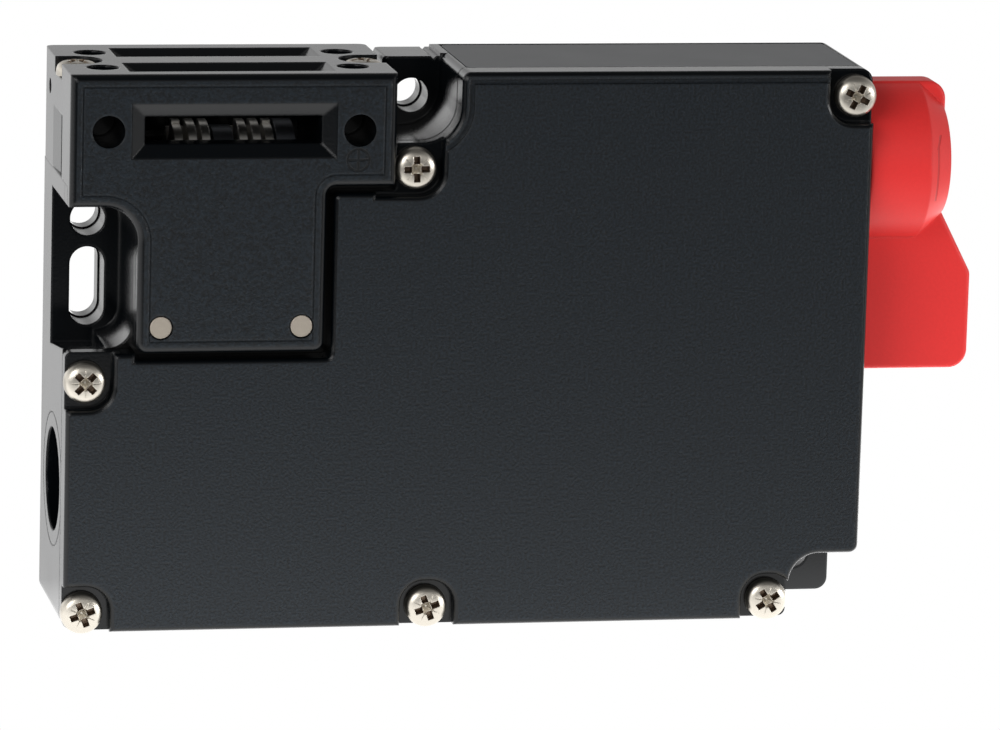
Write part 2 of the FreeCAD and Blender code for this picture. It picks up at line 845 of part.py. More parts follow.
def window_ramp():
    """Cutter for the ramp in the head's side window, which runs deeper towards the slot."""
    z_low = head_seat - past
    back_y = mid_depth + window_width / 2
    slot_y = mid_depth - window_width / 2 + window_slot_width
    corners = [
        Vector(left, back_y, z_low),
        Vector(left - past, back_y, z_low),
        Vector(left - past, slot_y, z_low),
        Vector(left + window_ramp_depth, slot_y, z_low),
        Vector(left, back_y, z_low),
    ]
    return Part.Face(Part.makePolygon(corners)).extrude(Vector(0, 0, window_height + past))


def make_head_housing():
    """Actuator head: block with three funnel slots and a front plate that covers the column."""
    head_block = block(left, head_right, head_front, 0, head_seat, top)
    face_points = [
        (left, top, 0),
        (left, shoulder_bottom, 0),
        (column_left, shoulder_bottom, wing_fillet),
        (column_left, column_bottom, column_corner),
        (column_right, column_bottom, column_corner),
        (column_right, head_seat, column_fillet),
        (head_right, head_seat, column_corner),
        (head_right, top, 0),
    ]
    front_plate = plate(face_points, head_front, column_front)
    head = fused([head_block, front_plate])
    head = rounded_front(head, head_front, head_edge_radius)
    upright = [
        edge for edge in head.Edges
        if edge.BoundBox.YLength < 1e-4 and edge.BoundBox.XLength < 1e-4
        and edge.BoundBox.ZMax > top - 1e-3 and abs(edge.BoundBox.YMin) < 1e-4
    ]
    head = head.makeFillet(head_edge_radius, upright)
    head = head.cut(outline_groove(face_points, head_front, head_line_inset, head_line_width, head_line_depth))

    well_radius = cam_radius + cam_well_clearance
    between_cheeks = block(head_x - well_half_length, head_x + well_half_length,
                           cam_y - well_radius, cam_y + well_radius,
                           head_seat, head_seat + cheek_height + 1)
    room_half_depth = top_slot_offset + slot_height / 2 + cam_well_clearance
    room_half_width = slot_width / 2 + 0.3
    above_cheeks = block(head_x - room_half_width, head_x + room_half_width,
                         cam_y - room_half_depth, cam_y + room_half_depth,
                         head_seat + cheek_height, top - head_ceiling)
    front_slot = funnel_slot(enclosure_depth / 3)
    front_slot.rotate(Vector(0, 0, 0), ALONG_X, 90)
    front_slot.translate(Vector(head_x, head_front, top - front_slot_drop))
    cutters = [between_cheeks, above_cheeks, front_slot]
    for side in (-1, 1):
        top_slot = funnel_slot(head_ceiling + past)
        top_slot.translate(Vector(head_x, mid_depth + side * top_slot_offset, top))
        cutters.append(top_slot)
        hole_x = head_x + side * guide_hole_offset
        cutters.append(rod(guide_hole_radius, (hole_x, head_front - past, top - front_slot_drop),
                           ALONG_Y, front_guide_depth + past))
        for end in (-1, 1):
            cutters.append(rod(guide_hole_radius,
                               (hole_x, mid_depth + end * top_slot_offset, top - top_guide_depth),
                               ALONG_Z, top_guide_depth + past))
        screw_x = head_x + side * head_screw_offset
        pocket_radius = screw_head_radius + 0.6
        edge_x = left - past if side < 0 else head_right + past
        pocket_floor = top - head_screw_pocket_depth
        cutters.append(rod(pocket_radius, (screw_x, mid_depth, pocket_floor), ALONG_Z,
                           head_screw_pocket_depth + past))
        cutters.append(block(min(screw_x, edge_x), max(screw_x, edge_x),
                             mid_depth - pocket_radius, mid_depth + pocket_radius,
                             pocket_floor, top + past))
        cutters.append(rod(screw_shank_radius + seat_clearance, (screw_x, mid_depth, head_seat - past),
                           ALONG_Z, head_height))
        pin_x = head_x + side * (column_width / 2 - head_pin_inset)
        cutters.append(rod(head_pin_radius + seat_clearance,
                           (pin_x, head_front - past, column_bottom + head_pin_rise),
                           ALONG_Y, front_plate_thickness + 2 * past))
        cutters.append(rod(head_pin_radius + pin_ring_gap,
                           (pin_x, head_front - past, column_bottom + head_pin_rise),
                           ALONG_Y, past + pin_ring_depth))
    cutters.append(rod(cam_axle_radius + seat_clearance, (head_x - cam_axle_length / 2, cam_y, cam_z),
                       ALONG_X, cam_axle_length))
    cutters.append(window_ramp())
    cutters.append(block(left - past, left + window_slot_depth,
                         mid_depth - window_width / 2, mid_depth - window_width / 2 + window_slot_width,
                         head_seat - past, head_seat + window_height))
    cutters.append(rod(drain_radius, (left - past, -drain_from_back, top - drain_drop), ALONG_X, 2 * past))
    for cutter in cutters:
        head = head.cut(cutter)
    return head


def make_head_pins():
    """Two steel pins pressed through the front plate into the column."""
    pins = []
    for side in (-1, 1):
        x = head_x + side * (column_width / 2 - head_pin_inset)
        pins.append(rod(head_pin_radius, (x, head_front + pin_sink, column_bottom + head_pin_rise),
                        ALONG_Y, head_pin_length))
    return Part.Compound(pins)


def make_head_screws():
    """Two screws down through the head into the shoulder of the housing."""
    seat = top - head_screw_pocket_depth
    length = seat - head_seat + head_screw_engagement
    screws = []
    for side in (-1, 1):
        screws.append(set_on_axis(pan_screw(length), (head_x + side * head_screw_offset, mid_depth, seat), ALONG_Z))
    return Part.Compound(screws)


def make_cover_screws():
    """Six screws through the cover into the housing bosses."""
    screws = []
    for number, (x, z) in enumerate(cover_screws_at.values()):
        screw = pan_screw(screw_length)
        screw.rotate(Vector(0, 0, 0), ALONG_Z, 23.0 * number)
        screw.rotate(Vector(0, 0, 0), ALONG_X, 90)
        screw.translate(Vector(x, screw_seat, z))
        screws.append(screw)
    return Part.Compound(screws)


def on_cam(angle, radius):
    """Point on the cam pack: the angle is zero straight down and grows towards the back."""
    turn = math.radians(angle)
    return (cam_y + radius * math.sin(turn), cam_z - radius * math.cos(turn))


def cam_prism(yz_points, x_start, thickness):
    """Solid across X from (y, z) points, joined by lines."""
    closed = [Vector(x_start, y, z) for y, z in yz_points]
    closed.append(closed[0])
    return Part.Face(Part.makePolygon(closed)).extrude(Vector(thickness, 0, 0))


def cam_rivet_bores(radius, x_start, length):
    """Bars through the cam pack at the rivet places."""
    bars = []
    for angle in cam_rivet_angles:
        y, z = on_cam(angle, cam_rivet_circle)
        bars.append(rod(radius, (x_start, y, z), ALONG_X, length))
    return bars


def cam_layer(shape, x_start, thickness):
    """Bores the axle hole and rivet holes through one layer of the cam pack."""
    shape = shape.cut(rod(cam_axle_radius + running_clearance, (x_start - past, cam_y, cam_z),
                          ALONG_X, thickness + 2 * past))
    for bar in cam_rivet_bores(cam_rivet_radius + seat_clearance, x_start - past, thickness + 2 * past):
        shape = shape.cut(bar)
    return shape


def make_cam_discs():
    """Six steel discs with a notch for the tongue; the outer two have a lower land in front."""
    discs = []
    notch_points = [
        on_cam(cam_notch_start, cam_radius - cam_notch_depth),
        on_cam(cam_notch_start, cam_radius + past),
        on_cam((cam_notch_start + cam_notch_end) / 2, cam_radius + 2 * past),
        on_cam(cam_notch_end, cam_radius + past),
        on_cam(cam_notch_end, cam_radius - 0.55 * cam_notch_depth),
    ]
    land_points = [
        on_cam(cam_land_start, 0),
        on_cam(cam_land_start, cam_radius + past),
        on_cam((cam_land_start + cam_land_end) / 2, cam_radius + 2 * past),
        on_cam(cam_land_end, cam_radius + past),
    ]
    for side in (-1, 1):
        for offset in cam_disc_offsets:
            x = head_x + side * offset - cam_disc_thickness / 2
            disc = rod(cam_radius, (x, cam_y, cam_z), ALONG_X, cam_disc_thickness)
            disc = disc.cut(cam_prism(notch_points, x - past, cam_disc_thickness + 2 * past))
            if offset == cam_disc_offsets[-1]:
                land = cam_prism(land_points, x - past, cam_disc_thickness + 2 * past)
                disc = disc.cut(land.cut(rod(cam_land_radius, (x - past, cam_y, cam_z), ALONG_X,
                                             cam_disc_thickness + 2 * past)))
            discs.append(cam_layer(disc, x, cam_disc_thickness))
    return Part.Compound(discs)


def make_cam_spacers():
    """Rings between the discs and at the left end of the pack."""
    half_disc = cam_disc_thickness / 2
    faces = [lift_cam_thickness / 2]
    for offset in cam_disc_offsets:
        faces.append(offset - half_disc)
        faces.append(offset + half_disc)
    faces.append(cam_half_length)
    rings = []
    for side in (-1, 1):
        spans = list(zip(faces[0::2], faces[1::2]))
        if side > 0:
            spans[-1] = (faces[-2], faces[-2] + lock_disc_gap)
        for low, high in spans:
            x = head_x + min(side * low, side * high)
            rings.append(tube(cam_spacer_radius, cam_axle_radius + running_clearance,
                              (x, cam_y, cam_z), ALONG_X, high - low))
    return Part.Compound(rings)


def make_lift_cam():
    """Middle cam: its radius falls evenly over the swing, so the plunger rises evenly."""
    steps = 12
    end = cam_swing + lift_cam_overrun
    points = []
    for i in range(steps + 1):
        angle = end * i / steps
        points.append(on_cam(angle, lift_cam_radius - cam_travel * angle / cam_swing))
    spiral = Part.BSplineCurve()
    x = head_x - lift_cam_thickness / 2
    spiral.interpolate([Vector(x, y, z) for y, z in points])
    rise = on_cam(end + lift_cam_rise, lift_cam_radius)
    around = on_cam(end + lift_cam_far_side, lift_cam_radius)
    edges = [
        spiral.toShape(),
        Part.LineSegment(Vector(x, *points[-1]), Vector(x, *rise)).toShape(),
        Part.Arc(Vector(x, *rise), Vector(x, *around), Vector(x, *points[0])).toShape(),
    ]
    cam = Part.Face(Part.Wire(edges)).extrude(Vector(lift_cam_thickness, 0, 0))
    return cam_layer(cam, x, lift_cam_thickness)


def make_lock_disc():
    """End disc: its hole comes in line with the lock finger when the cams have swung in."""
    x = head_x + cam_half_length - lock_disc_thickness
    disc = rod(cam_radius, (x, cam_y, cam_z), ALONG_X, lock_disc_thickness)
    reach_y = lever_y - cam_y
    reach_z = cam_z - finger_z
    angle = math.degrees(math.atan2(reach_y, reach_z)) + cam_swing
    y, z = on_cam(angle, math.hypot(reach_y, reach_z))
    disc = disc.cut(rod(finger_radius + free_clearance, (x - past, y, z), ALONG_X,
                        lock_disc_thickness + 2 * past))
    return cam_layer(disc, x, lock_disc_thickness)


def make_cam_rivets():
    """Three rivets through the whole cam pack."""
    x = head_x - cam_disc_offsets[-1] - cam_disc_thickness / 2
    return Part.Compound(cam_rivet_bores(cam_rivet_radius, x, head_x + cam_half_length - x))


def make_cam_axle():
    """Fixed axle, held between the head and the housing."""
    return rod(cam_axle_radius, (head_x - cam_axle_length / 2, cam_y, cam_z), ALONG_X, cam_axle_length)


plunger_top = cam_z - lift_cam_radius - free_clearance
plunger_pocket_floor = recess_floor - wall - 0.7
plunger_pocket_top = plunger_pocket_floor + plunger_pocket_height
collar_top = plunger_pocket_top - cam_travel - free_clearance
collar_bottom = collar_top - plunger_collar_height
position_case_top = plunger_pocket_floor - case_gap
position_bridge_top = position_case_top - bridge_drop


def make_plunger():
    """Follower with a rounded tip, a guided shank, a spring collar and a stem."""
    tip = rod(plunger_tip_radius, (head_x - plunger_tip_width / 2, cam_y, plunger_top - plunger_tip_radius),
              ALONG_X, plunger_tip_width)
    neck_low = cam_z - cam_radius - cam_travel - free_clearance
    neck = block(head_x - plunger_tip_width / 2, head_x + plunger_tip_width / 2,
                 cam_y - plunger_tip_radius, cam_y + plunger_tip_radius,
                 neck_low, plunger_top - plunger_tip_radius)
    shank = rod(plunger_radius, (head_x, cam_y, collar_top - 0.5), ALONG_Z, neck_low - collar_top + 0.5)
    collar = rod(plunger_collar_radius, (head_x, cam_y, collar_bottom), ALONG_Z, plunger_collar_height)
    stem = rod(plunger_stem_radius, (head_x, cam_y, position_bridge_top), ALONG_Z,
               collar_bottom - position_bridge_top + 0.5)
    return fused([tip, neck, shank, collar, stem])


def make_plunger_spring():
    """Spring between the contact case and the plunger's collar."""
    spring = coil_spring(plunger_spring_radius - plunger_spring_wire, plunger_spring_wire,
                         collar_bottom - position_case_top, plunger_spring_turns)
    spring.translate(Vector(head_x, cam_y, position_case_top))
    return spring


def open_case(x_low, x_high, z_low, z_high, y_front):
    """Contact case on the back wall, open at its front."""
    case = block(x_low, x_high, y_front, -back_wall, z_low, z_high)
    return case.cut(block(x_low + case_wall, x_high - case_wall, y_front - past, -back_wall - case_wall,
                          z_low + case_wall, z_high - case_wall))


position_case_low = position_case_top - position_case_height
position_case_left = head_x - position_case_width / 2
position_case_right = head_x + position_case_width / 2


def make_position_contact_case():
    """Case of the contact block under the plunger."""
    case = open_case(position_case_left, position_case_right, position_case_low, position_case_top,
                     case_front)
    return case.cut(rod(plunger_stem_radius + running_clearance, (head_x, cam_y, position_case_top - case_wall - 1),
                        ALONG_Z, case_wall + past))


def make_position_contact_bridge():
    """Moving contact bridge under the plunger's stem."""
    return block(head_x - contact_bridge_length / 2, head_x + contact_bridge_length / 2,
                 cam_y - contact_bridge_width / 2, cam_y + contact_bridge_width / 2,
                 position_bridge_top - contact_leaf, position_bridge_top)


def make_position_contacts():
    """Fixed contacts that the bridge rises to."""
    leaves = []
    low = position_bridge_top + cam_travel + contact_gap
    for side in (-1, 1):
        wall_x = head_x + side * (position_case_width / 2 - case_wall)
        tip_x = wall_x - side * contact_leaf_length
        leaf = block(min(wall_x, tip_x), max(wall_x, tip_x),
                     cam_y - contact_leaf_width / 2, cam_y + contact_leaf_width / 2, low, low + contact_leaf)
        riser = block(min(wall_x, wall_x - side * contact_leaf), max(wall_x, wall_x - side * contact_leaf),
                      cam_y - contact_leaf_width / 2, cam_y + contact_leaf_width / 2,
                      position_case_low + case_wall, low + contact_leaf)
        leaves.append(fused([leaf, riser]))
    return Part.Compound(leaves)


solenoid_right = solenoid_left + solenoid_length
frame_back = -back_wall
frame_front = cover_inside + cover_to_solenoid
bobbin_flange_radius = frame_back - frame_sheet - lever_y - bobbin_flange_gap
winding_radius = bobbin_flange_radius - winding_step
plate_right = solenoid_left - lock_plate_gap
plate_left = plate_right - lock_plate_thickness
plate_low = lever_z - lock_plate_drop
rod_end = right - cross_pin_inset + rod_radius + 1
armature_left = solenoid_left - armature_reach
armature_right = armature_left + armature_length
core_left = armature_right + lock_travel + core_gap


def make_lock_plate():
    """Plate that carries the lock finger on the pull rod."""
    lock_plate = block(plate_left, plate_right, lever_y - lock_plate_width / 2, lever_y + lock_plate_width / 2,
                       plate_low, lever_z + lock_plate_top)
    lock_plate = lock_plate.cut(rod(rod_radius - 0.5 + seat_clearance, (plate_left - past, lever_y, lever_z),
                                    ALONG_X, lock_plate_thickness + 2 * past))
    return lock_plate.cut(rod(finger_radius - 0.7 + seat_clearance, (plate_left - past, lever_y, finger_z),
                              ALONG_X, lock_plate_thickness + 2 * past))


def make_pull_rod():
    """Rod from the lock plate through the armature and core to the lever shaft."""
    riveted = rod(rod_radius - 0.5, (plate_left, lever_y, lever_z), ALONG_X, lock_plate_thickness)
    main = rod(rod_radius, (plate_right, lever_y, lever_z), ALONG_X, rod_end - plate_right)
    pull_rod = fused([riveted, main])
    return pull_rod.cut(rod(cross_pin_radius + seat_clearance,
                            (right - cross_pin_inset, lever_y, lever_z - rod_radius - past),
                            ALONG_Z, 2 * rod_radius + 2 * past))


def make_lock_finger():
    """Finger that enters the lock disc; at rest its end stands just clear of the disc."""
    tip = head_x + cam_half_length + free_clearance
    finger = rod(finger_radius, (tip, lever_y, finger_z), ALONG_X, plate_left - tip)
    riveted = rod(finger_radius - 0.7, (plate_left - 0.5, lever_y, finger_z), ALONG_X, lock_plate_thickness + 0.5)
    return fused([finger, riveted])


def make_armature():
    """Solenoid armature on the pull rod, with a pocket for the lock spring."""
    armature = tube(armature_radius, rod_radius + seat_clearance, (armature_left, lever_y, lever_z),
                    ALONG_X, armature_length)
    return armature.cut(rod(spring_pocket_radius, (armature_right - spring_pocket_depth, lever_y, lever_z),
                            ALONG_X, spring_pocket_depth + past))


def make_lock_spring():
    """Spring between the armature's pocket and the fixed core."""
    start = armature_right - spring_pocket_depth
    spring = coil_spring(lock_spring_radius, lock_spring_wire, core_left - start, lock_spring_turns)
    return set_on_axis(spring, (start, lever_y, lever_z), ALONG_X)


def make_solenoid_core():
    """Fixed core with a bore for the pull rod."""
    return tube(armature_radius, rod_radius + running_clearance, (core_left, lever_y, lever_z),
                ALONG_X, solenoid_right - core_left)


def make_solenoid_frame():
    """Steel frame: back and two ends, bored for the armature and the core."""
    z_low = lever_z - solenoid_height / 2
    z_high = lever_z + solenoid_height / 2
    frame = block(solenoid_left, solenoid_right, frame_front, frame_back, z_low, z_high)
    frame = frame.cut(block(solenoid_left + frame_sheet, solenoid_right - frame_sheet,
                            frame_front - past, frame_back - frame_sheet, z_low - past, z_high + past))
    return frame.cut(rod(armature_radius + running_clearance, (solenoid_left - past, lever_y, lever_z),
                         ALONG_X, solenoid_length + 2 * past))


bobbin_left = solenoid_left + frame_sheet
bobbin_right = solenoid_right - frame_sheet
bobbin_bore = armature_radius + running_clearance
bobbin_outer = bobbin_bore + bobbin_tube_wall


def make_coil_bobbin():
    """Spool that the coil is wound on and the armature slides in."""
    spool = [
        rod(bobbin_outer, (bobbin_left, lever_y, lever_z), ALONG_X, bobbin_right - bobbin_left),
        rod(bobbin_flange_radius, (bobbin_left, lever_y, lever_z), ALONG_X, bobbin_flange_thickness),
        rod(bobbin_flange_radius, (bobbin_right - bobbin_flange_thickness, lever_y, lever_z),
            ALONG_X, bobbin_flange_thickness),
    ]
    return fused(spool).cut(rod(bobbin_bore, (bobbin_left - past, lever_y, lever_z), ALONG_X,
                                bobbin_right - bobbin_left + 2 * past))


def make_coil_winding():
    """Copper winding between the bobbin's flanges."""
    start = bobbin_left + bobbin_flange_thickness + seat_clearance
    end = bobbin_right - bobbin_flange_thickness - seat_clearance
    return tube(winding_radius, bobbin_outer + seat_clearance, (start, lever_y, lever_z), ALONG_X, end - start)


def make_cross_pin():
    """Pin through the rod's end, which rides in the lever shaft's helical slots."""
    return rod(cross_pin_radius, (right - cross_pin_inset, lever_y, lever_z - cross_pin_length / 2),
               ALONG_Z, cross_pin_length)


def helical_slot():
    """Cutter for one helical slot: the pin's path seen from the turning shaft."""
    half_width = cross_pin_radius + 0.15
    reach = sleeve_radius + past
    steps = 15
    cutters = []
    for i in range(steps + 1):
        share = i / steps
        cutter = Part.makeCylinder(half_width, reach, Vector(0, 0, 0), ALONG_Z)
        cutter.rotate(Vector(0, 0, 0), ALONG_X, lever_swing * share)
        cutter.translate(Vector(lock_travel * share, 0, 0))
        cutters.append(cutter)
    return cutters[0].multiFuse(cutters[1:])


def make_release_sleeve():
    """Lever shaft: helical slots inside, retaining groove, seal groove and a square outer end."""
    start = right - sleeve_inner_end
    square_start = right + lever_side_gap
    sleeve = rod(sleeve_radius, (start, lever_y, lever_z), ALONG_X, square_start - start)
    square = block(square_start - 0.5, square_start + square_length,
                   lever_y - square_end / 2, lever_y + square_end / 2,
                   lever_z - square_end / 2, lever_z + square_end / 2)
    sleeve = fused([sleeve, square])
    sleeve = sleeve.cut(rod(sleeve_bore_radius, (start - past, lever_y, lever_z), ALONG_X,
                            right - sleeve_bore_end - start + past))
    groove_x = right - sleeve_boss_length - clip_thickness - seat_clearance
    sleeve = sleeve.cut(tube(sleeve_radius + past, sleeve_radius - clip_groove_depth,
                             (groove_x - seat_clearance, lever_y, lever_z), ALONG_X,
                             clip_thickness + 2 * seat_clearance))
    seal_x = right - sleeve_seal_width - 1.2
    sleeve = sleeve.cut(tube(sleeve_radius + past, sleeve_radius - sleeve_seal_depth - seat_clearance,
                             (seal_x - seat_clearance, lever_y, lever_z), ALONG_X,
                             sleeve_seal_width + 2 * seat_clearance))
    for side in (0, 180):
        slot = helical_slot()
        slot.rotate(Vector(0, 0, 0), ALONG_X, side)
        slot.translate(Vector(right - cross_pin_inset, lever_y, lever_z))
        sleeve = sleeve.cut(slot)
    return sleeve


def make_sleeve_seal():
    """Ring seal on the lever shaft, inside the housing wall."""
    seal_x = right - sleeve_seal_width - 1.2
    return tube(sleeve_radius, sleeve_radius - sleeve_seal_depth, (seal_x, lever_y, lever_z),
                ALONG_X, sleeve_seal_width)


def make_sleeve_clip():
    """Retaining ring in the shaft's groove, against the inside of the bearing boss."""
    clip_x = right - sleeve_boss_length - clip_thickness - seat_clearance
    ring = tube(clip_radius, sleeve_radius - clip_groove_depth + seat_clearance,
                (clip_x, lever_y, lever_z), ALONG_X, clip_thickness)
    return ring.cut(block(clip_x - past, clip_x + past, lever_y - 2, lever_y + 2, lever_z, lever_z + 2 * clip_radius))


def make_release_lever():
    """Red lever: coned hub in front of a flat blade that flares towards its lower end."""
    hub_start = right + lever_side_gap
    hub_end = hub_start + lever_hub_length
    hub = revolved([
        (0, 0),
        (0, lever_hub_radius),
        (lever_hub_length, lever_hub_radius),
        (lever_hub_length + lever_cone_length, lever_cone_radius),
        (lever_hub_length + lever_cone_length, 0),
    ], (hub_start, lever_y, lever_z), ALONG_X)
    blade = plate([
        (hub_start, lever_z + lever_hub_radius, 1.0),
        (right + lever_neck_reach, lever_z + lever_hub_radius, lever_blade_corner),
        (right + lever_neck_reach, lever_z - lever_flare_start, 2.0),
        (right + lever_blade_reach, lever_z - lever_flare_end, 2.0),
        (right + lever_blade_reach, lever_z - lever_blade_drop, lever_blade_corner),
        (hub_start, lever_z - lever_blade_drop, 1.0),
    ], lever_y - lever_blade_thickness / 2, lever_y + lever_blade_thickness / 2)
    blade_edges = [
        edge for edge in blade.Edges
        if edge.BoundBox.YLength < 1e-4 and edge.BoundBox.XMax > hub_start + 1.5
    ]
    blade = blade.makeFillet(0.6, blade_edges)
    lever = fused([hub, blade])
    socket = square_end / 2 + seat_clearance
    return lever.cut(block(hub_start - past, hub_start + square_length + seat_clearance,
                           lever_y - socket, lever_y + socket, lever_z - socket, lever_z + socket))


lock_case_left = solenoid_left + 1
lock_case_right = lock_case_left + lock_case_width
lock_case_top = lever_z - solenoid_height / 2 - lock_case_gap
lock_case_low = lock_case_top - lock_case_height
slide_z = plate_low + 1.5 * contact_slide_radius


def make_lock_contact_case():
    """Case of the contact block beside the lock plate."""
    case = open_case(lock_case_left, lock_case_right, lock_case_low, lock_case_top, case_front)
    return case.cut(rod(contact_slide_radius + running_clearance, (lock_case_left - past, lever_y, slide_z),
                        ALONG_X, case_wall + 2 * past))


slide_end = lock_case_left + slide_reach


def make_lock_contact_slide():
    """Pusher and bridge that the lock plate moves."""
    pusher = rod(contact_slide_radius, (plate_right, lever_y, slide_z), ALONG_X, slide_end - plate_right)
    bridge = block(slide_end - contact_leaf, slide_end,
                   lever_y - lock_bridge_length / 2, lever_y + lock_bridge_length / 2,
                   slide_z - contact_bridge_width / 2, slide_z + contact_bridge_width / 2)
    return fused([pusher, bridge])


def make_lock_contacts():
    """Fixed contacts that the bridge closes on."""
    leaves = []
    face = slide_end + lock_travel + contact_gap
    for side in (-1, 1):
        y_low = lever_y + side * lock_leaf_offset - lock_leaf_width / 2
        y_high = y_low + lock_leaf_width
        leaf = block(face, face + contact_leaf, y_low, y_high,
                     lock_case_low + case_wall, slide_z + lock_leaf_rise)
        foot = block(face, lock_case_right - case_wall, y_low, y_high,
                     lock_case_low + case_wall, lock_case_low + case_wall + contact_leaf)
        leaves.append(fused([leaf, foot]))
    return Part.Compound(leaves)


terminal_low = bottom + terminal_rise
terminal_front = cover_inside + terminal_front_gap
clamp_y = terminal_front + terminal_screw_height + terminal_sink


def terminal_centers():
    """X of each pole."""
    return [terminal_left + pole_pitch * (i + 0.5) for i in range(pole_count)]


def make_terminal_block():
    """Insulating block with a pocket for each pole and a wire mouth below it."""
    body = block(terminal_left, terminal_left + pole_pitch * pole_count, terminal_front, -back_wall,
                 terminal_low, terminal_low + terminal_height)
    z = terminal_low + terminal_height / 2
    half = terminal_pocket / 2
    for x in terminal_centers():
        body = body.cut(block(x - half, x + half, terminal_front - past,
                              terminal_front + terminal_pocket_depth, z - half, z + half))
        mouth = half - terminal_mouth_step
        body = body.cut(block(x - mouth, x + mouth, clamp_y + terminal_clamp_thickness,
                              terminal_front + terminal_pocket_depth, terminal_low - past, z))
    return body


def make_terminal_screws():
    """Slotted terminal screws."""
    z = terminal_low + terminal_height / 2
    screws = []
    for number, x in enumerate(terminal_centers()):
        head = rod(terminal_screw_radius, (x, clamp_y - terminal_screw_height, z), ALONG_Y, terminal_screw_height)
        shank = rod(terminal_shank_radius, (x, clamp_y, z), ALONG_Y, terminal_shank_length)
        slot = block(-terminal_screw_radius, terminal_screw_radius, -past, terminal_slot_depth,
                     -terminal_slot_width / 2, terminal_slot_width / 2)
        slot.rotate(Vector(0, 0, 0), ALONG_Y, 31.0 * number)
        slot.translate(Vector(x, clamp_y - terminal_screw_height, z))
        screws.append(head.fuse(shank).removeSplitter().cut(slot))
    return Part.Compound(screws)


def make_terminal_clamps():
    """Clamp plates under the terminal screws."""
    z = terminal_low + terminal_height / 2
    half = terminal_pocket / 2 - seat_clearance
    clamps = []
    for x in terminal_centers():
        clamp = block(x - half, x + half, clamp_y, clamp_y + terminal_clamp_thickness, z - half, z + half)
        clamps.append(clamp.cut(rod(terminal_shank_radius + seat_clearance, (x, clamp_y - past, z),
                                    ALONG_Y, terminal_clamp_thickness + 2 * past)))
    return Part.Compound(clamps)


def plug_profile():
    """Half-section of a blanking plug with its seal groove, measured inwards from its face."""
    radius = entry_radius - running_clearance
    groove_start = plug_length - 1.5 - plug_seal_width
    return [
        (0, 0),
        (0, radius),
        (groove_start, radius),
        (groove_start, radius - plug_seal_depth),
        (groove_start + plug_seal_width, radius - plug_seal_depth),
        (groove_start + plug_seal_width, radius),
        (plug_length, radius),
        (plug_length, 0),
    ]


def make_blanking_plugs():
    """Flush plugs with a driver slot in the three unused entries."""
    plugs = []
    for name, place, inward in entry_places():
        if name == "left":
            continue
        plug = revolved(plug_profile(), (0, 0, 0), ALONG_Z)
        plug = plug.cut(block(-plug_slot_length / 2, plug_slot_length / 2, -plug_slot_width / 2,
                              plug_slot_width / 2, -past, plug_slot_depth))
        plugs.append(set_on_axis(plug, Vector(*place) + inward * plug_sink, inward))
    return Part.Compound(plugs)


def make_plug_seals():
    """Ring seals in the plugs' grooves."""
    rings = []
    outer = entry_radius - running_clearance
    inner = outer - plug_seal_depth + seat_clearance
    groove_start = plug_length - 1.5 - plug_seal_width
    for name, place, inward in entry_places():
        if name == "left":
            continue
        start = Vector(*place) + inward * (plug_sink + groove_start + seat_clearance)
        rings.append(tube(outer, inner, start, inward, plug_seal_width - 2 * seat_clearance))
    return Part.Compound(rings)


PIECES = {
    "housing": make_housing,
    "cover": make_cover,
    "cover_gasket": make_cover_gasket,
    "cover_screws": make_cover_screws,
    "head_housing": make_head_housing,
    "head_screws": make_head_screws,
    "head_pins": make_head_pins,
    "cam_discs": make_cam_discs,
    "cam_spacers": make_cam_spacers,
    "lift_cam": make_lift_cam,
    "lock_disc": make_lock_disc,
    "cam_rivets": make_cam_rivets,
    "cam_axle": make_cam_axle,
    "plunger": make_plunger,
    "plunger_spring": make_plunger_spring,
    "position_contact_case": make_position_contact_case,
    "position_contact_bridge": make_position_contact_bridge,
    "position_contacts": make_position_contacts,
    "lock_plate": make_lock_plate,
    "pull_rod": make_pull_rod,
    "lock_finger": make_lock_finger,
    "armature": make_armature,
    "lock_spring": make_lock_spring,
    "solenoid_core": make_solenoid_core,
    "solenoid_frame": make_solenoid_frame,
    "coil_bobbin": make_coil_bobbin,
    "coil_winding": make_coil_winding,
    "cross_pin": make_cross_pin,
    "release_sleeve": make_release_sleeve,
    "sleeve_seal": make_sleeve_seal,
    "sleeve_clip": make_sleeve_clip,
    "release_lever": make_release_lever,
    "lock_contact_case": make_lock_contact_case,
    "lock_contact_slide": make_lock_contact_slide,
    "lock_contacts": make_lock_contacts,
    "terminal_block": make_terminal_block,
    "terminal_screws": make_terminal_screws,
    "terminal_clamps": make_terminal_clamps,
    "blanking_plugs": make_blanking_plugs,
    "plug_seals": make_plug_seals,
}

for piece_name, make_piece in PIECES.items():
    piece = make_piece()
    piece.exportStep("parts/" + piece_name + ".step")
    print(piece_name, len(piece.Solids), round(piece.Volume, 2), piece.isValid())
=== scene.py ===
import math

import bmesh
import bpy
from mathutils import Matrix, Vector


